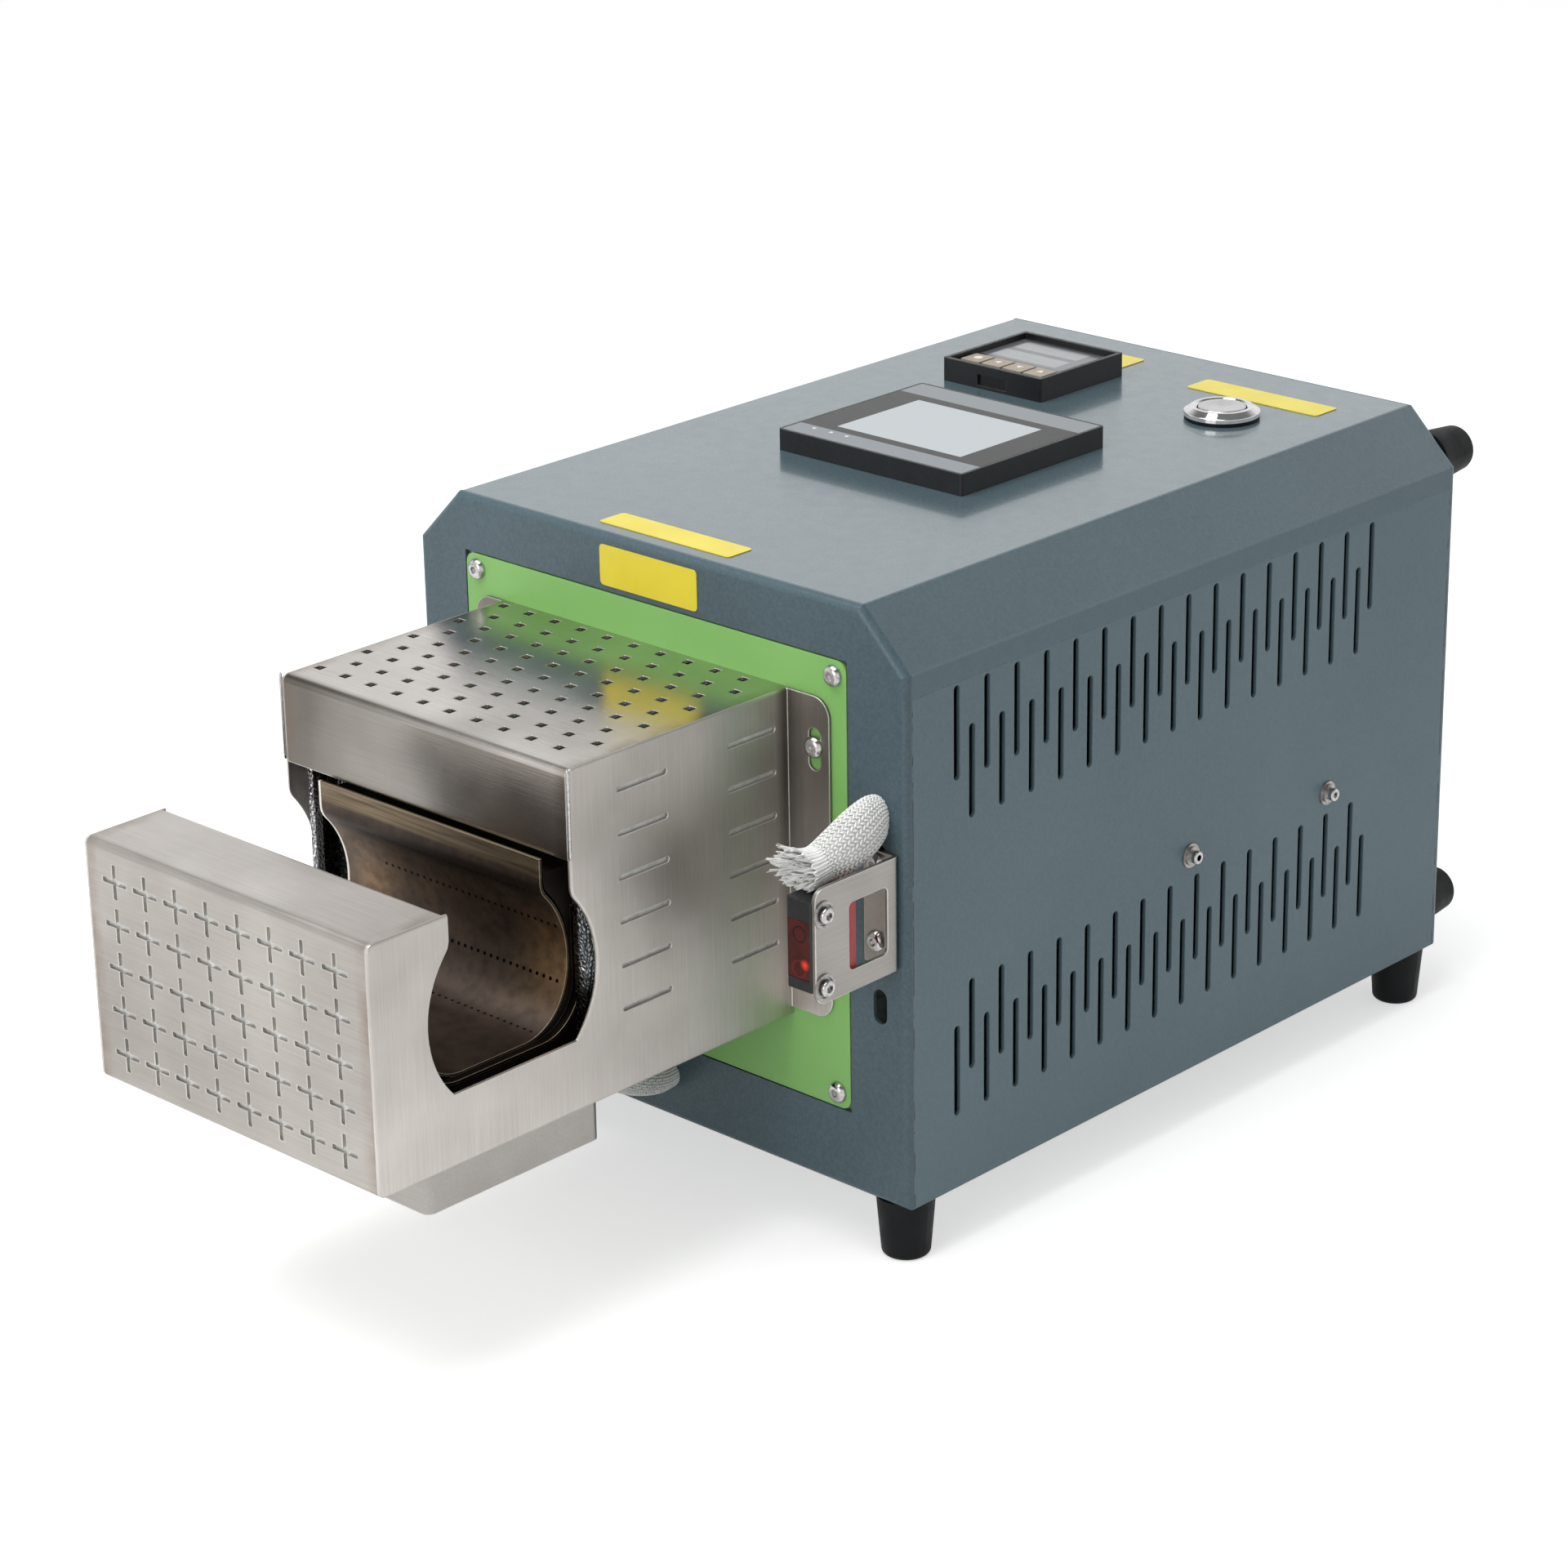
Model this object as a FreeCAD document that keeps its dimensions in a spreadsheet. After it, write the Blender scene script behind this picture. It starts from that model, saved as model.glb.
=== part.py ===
import FreeCAD, Part
import math
import os
import Sketcher
from FreeCAD import Placement, Rotation, Vector

# Bench-top hot-air oven for shrink tubing on wire harnesses, in millimetres.
# Pieces are drawn in the case's own frame: X across, Y back from the case front, Z up from the
# case bottom. Each is then seated so that the origin lies on the bench, under the middle of the oven.

doc = FreeCAD.newDocument("ShrinkOven")

# Driving dimensions
DIMENSIONS = {
    "case_width": 230.0, "case_depth": 303.4, "case_height": 210.0, "case_chamfer": 20.0,
    "case_sheet": 1.5, "case_rim": 3.0, "case_lip": 15.0, "cover_leg": 8.0,
    "foot_height": 22.3, "foot_top": 20.5, "foot_end": 16.8, "foot_inset": 10.8,
    "bumper_side": 101.0, "bumper_low": 13.0, "bumper_high": 190.0, "bumper_length": 20.0,
    "vent_width": 3.0, "vent_length": 33.0, "vent_pitch": 15.14, "vent_front": 24.9,
    "vent_top_high": 164.5, "vent_top_low": 149.3, "vent_low_high": 58.5, "vent_low_low": 43.5,
    "side_screw_front": 149.7, "side_screw_pitch": 80.0, "side_screw_level": 83.0,
    "window_wide": 181.0, "window_tall": 161.0, "window_side": -0.8, "window_level": 109.3,
    "plate_gap": 0.5, "plate_corner": 4.0, "plate_screw_wide": 169.0, "plate_screw_tall": 149.0,
    "guard_side": -4.5, "guard_wide": 137.0, "guard_sheet": 1.2, "guard_reach": 187.0,
    "guard_floor": 58.0, "hood_top": 175.2, "hood_reach": 101.5, "hood_lip": 144.5,
    "block_rear": 154.0, "block_top": 143.2, "block_lip": 139.0, "floor_rear": 60.0,
    "flange_right": 18.5, "flange_left": 12.5, "flange_low": 61.0,
    "flange_slot_wide": 5.2, "flange_slot_tall": 15.0, "flange_slot_high": 156.7, "flange_slot_low": 80.0,
    "slot_reach": 127.75, "slot_level": 107.3, "slot_radius": 36.5, "slot_neck": 26.25,
    "slot_floor": 82.5, "slot_blend": 7.0,
    "liner_radius": 34.5, "liner_neck": 24.0, "liner_floor": 84.5, "liner_top": 143.4,
    "liner_front_top": 136.0, "liner_blend": 7.0, "liner_sheet": 1.0,
    "chamber_left": -54.6, "chamber_wide": 106.6,
    "plenum_front": 168.0, "plenum_rear": 87.0, "plenum_low": 66.0, "plenum_high": 138.0,
    "hole_side": 3.5, "hole_pitch": 12.77, "hole_row": 10.5, "hole_first": 88.5, "hole_left": -67.9,
    "cross_arm": 12.0, "cross_slot": 1.8, "cross_pitch": 15.25, "cross_left": -58.5, "cross_top": 130.8,
    "louvre_long": 22.5, "louvre_tall": 2.0, "louvre_pitch": 15.2, "louvre_top": 162.6,
    "louvre_front": 69.0, "louvre_rear": 18.5,
    "tray_front": 167.0, "tray_rear": 91.5, "tray_low": 44.5,
    "tube_outer": 50.0, "tube_bore": 47.0, "tube_rear": 140.0,
    "blower_rear": 215.0, "blower_level": 72.0, "blower_radius": 56.0, "blower_wide": 50.0,
    "blower_wall": 2.0, "impeller_radius": 44.0, "motor_radius": 34.0, "motor_long": 46.0,
    "controller_side": -34.2, "controller_back": 239.7, "controller_square": 48.0,
    "controller_proud": 9.0, "controller_body": 44.8, "controller_deep": 68.0,
    "touch_back": 148.3, "touch_wide": 87.0, "touch_long": 77.5, "touch_proud": 8.0, "touch_deep": 32.0,
    "button_side": 52.2, "button_back": 244.0, "button_head": 28.0, "button_barrel": 24.6,
    "button_plunger": 17.6,
    "bracket_face": 112.0, "bracket_reach": 40.5, "bracket_low": 88.0, "bracket_high": 128.3,
    "bracket_sheet": 1.5, "bracket_side": 97.5, "bracket_slot_side": 103.0,
    "bracket_slot_low": 96.2, "bracket_slot_high": 123.8, "bracket_slot_spare": 71.8,
    "sensor_wide": 11.0, "sensor_long": 21.8, "sensor_low": 92.4, "sensor_tall": 31.4, "sensor_cap": 5.8,
    "sensor_screw_reach": 36.6, "sensor_screw_low": 93.8, "sensor_screw_high": 119.2,
    "lead_hole": 9.4, "lead_side": 102.8, "lead_level": 140.0, "feed_side": 1.6, "feed_level": 17.0,
}
dims = doc.addObject("Spreadsheet::Sheet", "Dims")
for line, (alias, value) in enumerate(DIMENSIONS.items(), start=1):
    dims.set("A%d" % line, alias)
    dims.set("B%d" % line, "%g" % value)
    dims.setAlias("B%d" % line, alias)
# The machine's reach before and behind the origin is made equal
dims.set("A200", "front_y")
dims.set("B200", "=(guard_reach - case_depth - bumper_length) / 2")
dims.setAlias("B200", "front_y")
doc.recompute()
nodes = []


def mm(alias):
    return float(dims.get(alias))


def seat(node):
    node.setExpression("Placement.Base.y", "Dims.front_y")
    node.setExpression("Placement.Base.z", "Dims.foot_height")
    nodes.append(node)
    return node


def new_body(label, seated=True):
    body = doc.addObject("PartDesign::Body", label)
    body.Label = label
    return seat(body) if seated else body


def sketch_on(body, role, offset="0"):
    plane = [feature for feature in body.Origin.OriginFeatures if feature.Role == role][0]
    sketch = body.newObject("Sketcher::SketchObject", body.Label + "_sketch")
    sketch.AttachmentSupport = [(plane, "")]
    sketch.MapMode = "FlatFace"
    sketch.setExpression("AttachmentOffset.Base.z", offset)
    return sketch


def bound(sketch, kind, places, expression):
    index = sketch.addConstraint(Sketcher.Constraint(kind, *places, 5.0))
    sketch.setExpression("Constraints[%d]" % index, expression)


def rectangle(sketch, left, low, wide, tall):
    first = sketch.GeometryCount
    corners = [Vector(0, 0, 0), Vector(9, 0, 0), Vector(9, 9, 0), Vector(0, 9, 0)]
    for i in range(4):
        sketch.addGeometry(Part.LineSegment(corners[i], corners[(i + 1) % 4]))
    for i in range(4):
        sketch.addConstraint(Sketcher.Constraint("Coincident", first + i, 2, first + (i + 1) % 4, 1))
        sketch.addConstraint(Sketcher.Constraint("Vertical" if i % 2 else "Horizontal", first + i))
    bound(sketch, "DistanceX", (-1, 1, first, 1), left)
    bound(sketch, "DistanceY", (-1, 1, first, 1), low)
    bound(sketch, "DistanceX", (first, 1, first, 2), wide)
    bound(sketch, "DistanceY", (first + 1, 1, first + 1, 2), tall)


def circle(sketch, across, up, diameter):
    index = sketch.addGeometry(Part.Circle(Vector(3, 3, 0), Vector(0, 0, 1), 2))
    bound(sketch, "DistanceX", (-1, 1, index, 3), across)
    bound(sketch, "DistanceY", (-1, 1, index, 3), up)
    bound(sketch, "Diameter", (index,), diameter)


def rounded(points):
    """Edges of a closed outline; each point is (across, up, corner radius)."""
    starts, ends, middles = [], [], []
    for i, (x, y, radius) in enumerate(points):
        here = Vector(x, y, 0)
        back = (Vector(*points[i - 1][:2], 0) - here).normalize()
        ahead = (Vector(*points[(i + 1) % len(points)][:2], 0) - here).normalize()
        half = math.acos(max(-1.0, min(1.0, back.dot(ahead)))) / 2
        reach = radius / math.tan(half)
        starts.append(here + back * reach)
        ends.append(here + ahead * reach)
        if radius:
            centre = here + (back + ahead).normalize() * (radius / math.sin(half))
            middles.append(centre + (here - centre).normalize() * radius)
        else:
            middles.append(None)
    edges = []
    for i in range(len(points)):
        if middles[i]:
            edges.append(Part.Arc(starts[i], middles[i], ends[i]))
        after = starts[(i + 1) % len(points)]
        if ends[i].distanceToPoint(after) > 1e-6:
            edges.append(Part.LineSegment(ends[i], after))
    return edges


def outline(sketch, points):
    for edge in rounded(points):
        sketch.addGeometry(edge)


def obround(sketch, across, up, wide, tall):
    x0, x1 = across - wide / 2, across + wide / 2
    y0, y1 = up - tall / 2, up + tall / 2
    r = min(wide, tall) / 2
    outline(sketch, [(x0, y0, r), (x1, y0, r), (x1, y1, r), (x0, y1, r)])


def pad(body, sketch, length, reverse=False):
    feature = body.newObject("PartDesign::Pad", body.Label + "_pad")
    feature.Profile = sketch
    feature.Reversed = reverse
    feature.setExpression("Length", length)
    doc.recompute()
    return feature


def pocket(body, sketch, length, reverse=False):
    before = body.Shape.Volume
    feature = body.newObject("PartDesign::Pocket", body.Label + "_pocket")
    feature.Profile = sketch
    feature.Reversed = reverse
    feature.setExpression("Length", length)
    doc.recompute()
    if body.Shape.Volume > before - 0.01:
        raise RuntimeError(body.Label + ": a pocket removes nothing")
    return feature


def revolve(body, sketch, axis):
    feature = body.newObject("PartDesign::Revolution", body.Label + "_turn")
    feature.Profile = sketch
    feature.ReferenceAxis = (sketch, [axis])
    feature.Angle = 360
    doc.recompute()
    return feature


def row(body, feature, axis, count, pitch):
    pattern = body.newObject("PartDesign::LinearPattern", body.Label + "_row")
    pattern.Originals = [feature]
    pattern.Direction = (feature.Profile[0], [axis])
    pattern.Occurrences = count
    pattern.setExpression("Length", "%d * %s" % (count - 1, pitch))
    body.Tip = pattern
    doc.recompute()
    return pattern


def round_edges(body, radius, wanted):
    """Fillet the edges of the body whose middle point passes the test."""
    base = body.Tip
    names = []
    for i, edge in enumerate(base.Shape.Edges, start=1):
        if wanted(edge.valueAt((edge.FirstParameter + edge.LastParameter) / 2), edge):
            names.append("Edge%d" % i)
    feature = body.newObject("PartDesign::Fillet", body.Label + "_fillet")
    feature.Base = (base, names)
    feature.Radius = radius
    doc.recompute()
    return feature


def group(label, item, places):
    """One node of separate, equal solids, each at (position, rotation)."""
    doc.recompute()
    node = doc.addObject("Part::Feature", label)
    node.Label = label
    copies = []
    for position, rotation in places:
        copy = item.Shape.copy()
        copy.Placement = Placement(position, rotation).multiply(copy.Placement)
        copies.append(copy)
    node.Shape = Part.Compound(copies)
    return seat(node)


UPRIGHT = Rotation()
FACING_FRONT = Rotation(Vector(1, 0, 0), 90)
FACING_RIGHT = Rotation(Vector(0, 1, 0), 90)
FACING_LEFT = Rotation(Vector(0, 1, 0), -90)
FACING_BACK = Rotation(Vector(1, 0, 0), -90)

W, D, H = mm("case_width"), mm("case_depth"), mm("case_height")
SHEET = mm("case_sheet")


def case_outline(inset):
    """The case seen from the front, drawn in by the inset: a box with two long top chamfers."""
    side = W / 2 - inset
    high = H - inset
    shoulder = H - mm("case_chamfer") - inset * math.tan(math.pi / 8)
    cut = W / 2 - mm("case_chamfer") - inset * math.tan(math.pi / 8)
    bend = 1.2 if inset else 0.0
    return [(-side, inset, 0), (side, inset, 0), (side, shoulder, bend), (cut, high, bend),
            (-cut, high, bend), (-side, shoulder, bend)]


# Front and rear panels: a sheet with rounded edges and a joggled lip that slides inside the cover
def end_panel(label, at_rear):
    body = new_body(label)
    face = "-Dims.case_depth" if at_rear else "0"
    inner = "-(Dims.case_depth - Dims.case_lip)" if at_rear else "-Dims.case_lip"
    rim = sketch_on(body, "XZ_Plane", face)
    outline(rim, case_outline(0))
    pad(body, rim, "Dims.case_rim", reverse=not at_rear)
    lip = sketch_on(body, "XZ_Plane", face)
    outline(lip, case_outline(SHEET))
    pad(body, lip, "Dims.case_lip", reverse=not at_rear)
    hollow = sketch_on(body, "XZ_Plane", inner)
    outline(hollow, case_outline(2 * SHEET))
    pocket(body, hollow, "Dims.case_lip - Dims.case_sheet", reverse=not at_rear)
    level = D if at_rear else 0.0
    round_edges(body, 2.5, lambda middle, edge: abs(middle.y - level) < 1e-3)
    return body


front_panel = end_panel("front_panel", False)
window = sketch_on(front_panel, "XZ_Plane")
rectangle(window, "Dims.window_side - Dims.window_wide / 2", "Dims.window_level - Dims.window_tall / 2",
          "Dims.window_wide", "Dims.window_tall")
pocket(front_panel, window, "Dims.case_sheet")
bracket_slots = sketch_on(front_panel, "XZ_Plane")
for level in ("bracket_slot_spare", "bracket_slot_low", "bracket_slot_high"):
    obround(bracket_slots, mm("bracket_slot_side"), mm(level), 6.0, 12.4)
circle(bracket_slots, "Dims.lead_side", "Dims.lead_level", "Dims.lead_hole")
circle(bracket_slots, "Dims.feed_side", "Dims.feed_level", "Dims.lead_hole")
pocket(front_panel, bracket_slots, "Dims.case_sheet")

rear_panel = end_panel("rear_panel", True)
cutouts = sketch_on(rear_panel, "XZ_Plane", "-Dims.case_depth")
rectangle(cutouts, "46.5", "38", "27", "20")
rectangle(cutouts, "47", "68", "26", "19")
for side in ("-Dims.bumper_side", "Dims.bumper_side"):
    for level in ("Dims.bumper_low", "Dims.bumper_high"):
        circle(cutouts, side, level, "4.4")
pocket(rear_panel, cutouts, "3 * Dims.case_sheet", reverse=True)

# Top cover: one sheet bent along both chamfers, cut for the two panel instruments and the button
top_cover = new_body("top_cover")
foot_of_leg = H - mm("case_chamfer") - mm("cover_leg")
outside = case_outline(0)[2:6]
inside = case_outline(SHEET)[2:6]
bent = [(W / 2, foot_of_leg, 0)] + [(x, y, 2.5) for x, y, _ in outside] + [(-W / 2, foot_of_leg, 0)]
bent += [(SHEET - W / 2, foot_of_leg, 0)] + [(x, y, 1.0) for x, y, _ in reversed(inside)]
bent += [(W / 2 - SHEET, foot_of_leg, 0)]
cover_profile = sketch_on(top_cover, "XZ_Plane", "-Dims.case_rim")
outline(cover_profile, bent)
pad(top_cover, cover_profile, "Dims.case_depth - 2 * Dims.case_rim", reverse=True)
openings = sketch_on(top_cover, "XY_Plane", "Dims.case_height")
rectangle(openings, "Dims.controller_side - 22.6", "Dims.controller_back - 22.6", "45.2", "45.2")
rectangle(openings, "-38.2", "Dims.touch_back - 34.2", "76.4", "68.4")
circle(openings, "Dims.button_side", "Dims.button_back", "Dims.button_barrel + 0.6")
pocket(top_cover, openings, "2 * Dims.case_sheet")


# Side panels: flat sheets with two bands of round-ended vents, each band in two staggered rows
def side_panel(label, near_edge):
    body = new_body(label)
    wall = sketch_on(body, "YZ_Plane", near_edge)
    rectangle(wall, "Dims.case_rim", "0", "Dims.case_depth - 2 * Dims.case_rim",
              "Dims.case_height - Dims.case_chamfer - Dims.cover_leg")
    pad(body, wall, "Dims.case_sheet")
    holes = sketch_on(body, "YZ_Plane", near_edge)
    circle(holes, "Dims.side_screw_front", "Dims.side_screw_level", "5.4")
    circle(holes, "Dims.side_screw_front + Dims.side_screw_pitch", "Dims.side_screw_level", "5.4")
    pocket(body, holes, "Dims.case_sheet", reverse=True)
    for levels, start, count in ((("vent_top_high", "vent_low_low"), 0.0, 16),
                                 (("vent_top_low", "vent_low_high"), 0.5, 15)):
        vents = sketch_on(body, "YZ_Plane", near_edge)
        for level in levels:
            obround(vents, mm("vent_front") + start * mm("vent_pitch"), mm(level),
                    mm("vent_width"), mm("vent_length"))
        row(body, pocket(body, vents, "Dims.case_sheet", reverse=True), "H_Axis", count, "Dims.vent_pitch")
    return body


side_panel("side_panel_right", "Dims.case_width / 2 - Dims.case_sheet")
side_panel("side_panel_left", "-Dims.case_width / 2")

# Base tray: floor with an upturned strip along each side wall
base_tray = new_body("base_tray")
floor = sketch_on(base_tray, "XY_Plane")
rectangle(floor, "Dims.case_sheet - Dims.case_width / 2", "Dims.case_rim",
          "Dims.case_width - 2 * Dims.case_sheet", "Dims.case_depth - 2 * Dims.case_rim")
pad(base_tray, floor, "Dims.case_sheet")
strips = sketch_on(base_tray, "XY_Plane")
for left in ("Dims.case_sheet - Dims.case_width / 2", "Dims.case_width / 2 - 2 * Dims.case_sheet"):
    rectangle(strips, left, "Dims.case_lip + 1", "Dims.case_sheet", "Dims.case_depth - 2 * Dims.case_lip - 2")
pad(base_tray, strips, "14")
foot_holes = sketch_on(base_tray, "XY_Plane")
for side in ("Dims.foot_inset - Dims.case_width / 2", "Dims.case_width / 2 - Dims.foot_inset"):
    for back in ("Dims.foot_inset", "Dims.case_depth - Dims.foot_inset"):
        circle(foot_holes, side, back, "4.4")
pocket(base_tray, foot_holes, "Dims.case_sheet", reverse=True)


# Rubber feet: tapered, with a rounded tread and a sunk screw hole
def rubber_foot(label, length):
    item = new_body(label, seated=False)
    profile = sketch_on(item, "XZ_Plane")
    top, end, deep = mm("foot_top") / 2, mm("foot_end") / 2, mm(length)
    outline(profile, [(2.2, 0, 0), (top, 0, 0), (end, -deep, 2.0), (4.5, -deep, 0),
                      (4.5, 4.0 - deep, 0), (2.2, 4.0 - deep, 0)])
    revolve(item, profile, "V_Axis")
    return item


near, far = W / 2 - mm("foot_inset"), D - mm("foot_inset")
group("base_feet", rubber_foot("foot_item", "foot_height"),
      [(Vector(x, y, 0), UPRIGHT) for x in (-near, near) for y in (mm("foot_inset"), far)])
group("rear_bumpers", rubber_foot("bumper_item", "bumper_length"),
      [(Vector(x, D, z), FACING_FRONT) for x in (-mm("bumper_side"), mm("bumper_side"))
       for z in (mm("bumper_low"), mm("bumper_high"))])


# Screws with a turned head and a hexagon socket, drawn head up with the seat at z = 0
def screw(label, shank, long, head, tall, crown, socket):
    item = new_body(label, seated=False)
    profile = sketch_on(item, "XZ_Plane")
    outline(profile, [(0, -long, 0), (shank / 2, -long, 0), (shank / 2, 0, 0), (head / 2, 0, 0),
                      (head / 2, tall, crown), (0, tall, 0)])
    revolve(item, profile, "V_Axis")
    key = sketch_on(item, "XY_Plane", "%g" % tall)
    corners = [(socket * math.cos(math.pi * i / 3), socket * math.sin(math.pi * i / 3), 0) for i in range(6)]
    outline(key, corners)
    pocket(item, key, "%g" % (0.55 * tall))
    return item


# Green nozzle plate, screwed through the case window to a carrier frame behind it
PLATE_SCREWS = [(mm("window_side") + i * mm("plate_screw_wide") / 2,
                 mm("window_level") + j * mm("plate_screw_tall") / 2) for i in (-1, 1) for j in (-1, 1)]
GUARD_LEFT = mm("guard_side") - mm("guard_wide") / 2
GUARD_RIGHT = mm("guard_side") + mm("guard_wide") / 2
GUARD_SCREWS = [(x, z + 0.8) for x in (GUARD_LEFT - 7.0, GUARD_RIGHT + 12.0)
                for z in (mm("flange_slot_low"), mm("flange_slot_high"))]

nozzle_plate = new_body("nozzle_plate")
face = sketch_on(nozzle_plate, "XZ_Plane")
half_wide = mm("window_wide") / 2 - mm("plate_gap")
half_tall = mm("window_tall") / 2 - mm("plate_gap")
corner = mm("plate_corner")
outline(face, [(mm("window_side") + i * half_wide, mm("window_level") + j * half_tall, corner)
               for i, j in ((-1, -1), (1, -1), (1, 1), (-1, 1))])
pad(nozzle_plate, face, "Dims.case_sheet", reverse=True)
plate_holes = sketch_on(nozzle_plate, "XZ_Plane")
circle(plate_holes, "Dims.guard_side", "Dims.slot_level", "Dims.tube_outer + 4")
for x, z in PLATE_SCREWS + GUARD_SCREWS:
    circle(plate_holes, "%g" % x, "%g" % z, "4.4")
pocket(nozzle_plate, plate_holes, "Dims.case_sheet")

carrier = new_body("carrier_frame")
frame = sketch_on(carrier, "XZ_Plane", "-Dims.case_sheet")
rectangle(frame, "Dims.window_side - 99", "Dims.window_level - 86", "198", "172")
rectangle(frame, "Dims.window_side - 64", "Dims.window_level - 60", "128", "120")
pad(carrier, frame, "2", reverse=True)
carrier_holes = sketch_on(carrier, "XZ_Plane", "-Dims.case_sheet")
for x, z in PLATE_SCREWS + GUARD_SCREWS:
    circle(carrier_holes, "%g" % x, "%g" % z, "4.2")
pocket(carrier, carrier_holes, "2")

button_head = screw("button_head_item", 4.0, 8.0, 7.6, 2.3, 2.1, 1.4)
group("plate_screws", button_head, [(Vector(x, 0, z), FACING_FRONT) for x, z in PLATE_SCREWS])
group("guard_screws", button_head,
      [(Vector(x, -mm("guard_sheet"), z), FACING_FRONT) for x, z in GUARD_SCREWS])


# Harness slot: a neck that opens into a round belly with a flat floor, seen from the right side
def omega(radius, neck, floor_level, top, blend):
    centre = Vector(-mm("slot_reach"), mm("slot_level"), 0)
    rise = math.sqrt((radius + blend) ** 2 - (neck + blend) ** 2)
    turn = Vector(neck + blend, rise, 0)
    meet = turn * (radius / (radius + blend))
    drop = floor_level - centre.y
    low = Vector(math.sqrt(radius ** 2 - drop ** 2), drop, 0)
    nick = turn + (Vector(neck, rise, 0) + meet - turn * 2).normalize() * blend
    right = [Vector(neck, top - centre.y, 0), Vector(neck, rise, 0), nick, meet, Vector(radius, 0, 0), low]
    left = [Vector(-p.x, p.y, 0) for p in reversed(right)]
    p = [centre + point for point in right + left]
    return [Part.LineSegment(p[0], p[1]), Part.Arc(p[1], p[2], p[3]), Part.Arc(p[3], p[4], p[5]),
            Part.LineSegment(p[5], p[6]), Part.Arc(p[6], p[7], p[8]), Part.Arc(p[8], p[9], p[10]),
            Part.LineSegment(p[10], p[11])]


def notched_plate(sketch, corners, cut):
    """A plate outline, from the right end of its top round to the left, closed by an omega cut."""
    points = [cut[0].StartPoint] + [Vector(x, y, 0) for x, y in corners] + [cut[-1].EndPoint]
    for start, end in zip(points, points[1:]):
        sketch.addGeometry(Part.LineSegment(start, end))
    for edge in cut:
        sketch.addGeometry(edge)


# Guard sides: the slot, two columns of slots and a bent flange with two adjusting slots
def guard_side(label, inner, outer, flange, screw_side):
    body = new_body(label)
    wall = sketch_on(body, "YZ_Plane", "%g" % min(inner, outer))
    block, lip = mm("block_top"), mm("hood_lip")
    cut = omega(mm("slot_radius"), mm("slot_neck"), mm("slot_floor"), block, mm("slot_blend"))
    reach, hood = -mm("guard_reach"), -mm("hood_reach")
    notched_plate(wall, [(hood, lip), (hood, mm("hood_top")), (0, mm("hood_top")), (0, mm("guard_floor")),
                         (reach, mm("guard_floor")), (reach, block)], cut)
    pad(body, wall, "Dims.guard_sheet")
    bends = [(hood, mm("hood_top")), (reach, block), (reach, mm("guard_floor"))]
    round_edges(body, 2.5, lambda middle, edge: (round(middle.y, 3), round(middle.z, 3)) in bends)
    round_edges(body, 0.9, lambda middle, edge: abs(middle.x - outer) < 1e-3 and middle.y < -1.0
                and (middle.z < mm("guard_floor") + 3 or middle.z > block + 8 or middle.y < reach + 3))
    tab = sketch_on(body, "XZ_Plane")
    low, high = mm("flange_low"), mm("hood_top")
    outline(tab, [(inner, low, 0), (flange, low, 7.0), (flange, high, 7.0), (inner, high, 0)])
    pad(body, tab, "Dims.guard_sheet")
    slots = sketch_on(body, "XZ_Plane")
    for level in ("flange_slot_low", "flange_slot_high"):
        obround(slots, screw_side, mm(level), mm("flange_slot_wide"), mm("flange_slot_tall"))
    pocket(body, slots, "Dims.guard_sheet", reverse=True)
    louvres = sketch_on(body, "YZ_Plane", "%g" % min(inner, outer))
    for reach in ("louvre_front", "louvre_rear"):
        obround(louvres, -mm(reach), mm("louvre_top") - 5 * mm("louvre_pitch"),
                mm("louvre_long"), mm("louvre_tall"))
    row(body, pocket(body, louvres, "Dims.guard_sheet", reverse=True), "V_Axis", 6, "Dims.louvre_pitch")
    return body


G = mm("guard_sheet")
guard_side("guard_side_right", GUARD_RIGHT - G, GUARD_RIGHT, GUARD_RIGHT + mm("flange_right"),
           GUARD_RIGHT + 12.0)
guard_side("guard_side_left", GUARD_LEFT + G, GUARD_LEFT, GUARD_LEFT - mm("flange_left"), GUARD_LEFT - 7.0)

# Guard hood: top sheet with staggered square holes, bent down to a lip at the front
guard_hood = new_body("guard_hood")
bend = sketch_on(guard_hood, "YZ_Plane", "%g" % (GUARD_LEFT + G))
top, reach, lip = mm("hood_top"), mm("hood_reach"), mm("hood_lip")
outline(bend, [(0, top - G, 0), (0, top, 0), (-reach, top, 2.5), (-reach, lip, 0),
               (G - reach, lip, 0), (G - reach, top - G, 1.3)])
pad(guard_hood, bend, "Dims.guard_wide - 2 * Dims.guard_sheet")
for first, start, rows in ((0, 0.0, 5), (1, 0.5, 4)):
    holes = sketch_on(guard_hood, "XY_Plane", "Dims.hood_top")
    for i in range(rows):
        rectangle(holes, "Dims.hole_left + %g * Dims.hole_pitch - Dims.hole_side / 2" % start,
                  "%d * Dims.hole_row - Dims.hole_first - Dims.hole_side / 2" % (first + 2 * i),
                  "Dims.hole_side", "Dims.hole_side")
    row(guard_hood, pocket(guard_hood, holes, "2 * Dims.guard_sheet"), "H_Axis", 10, "Dims.hole_pitch")

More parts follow.
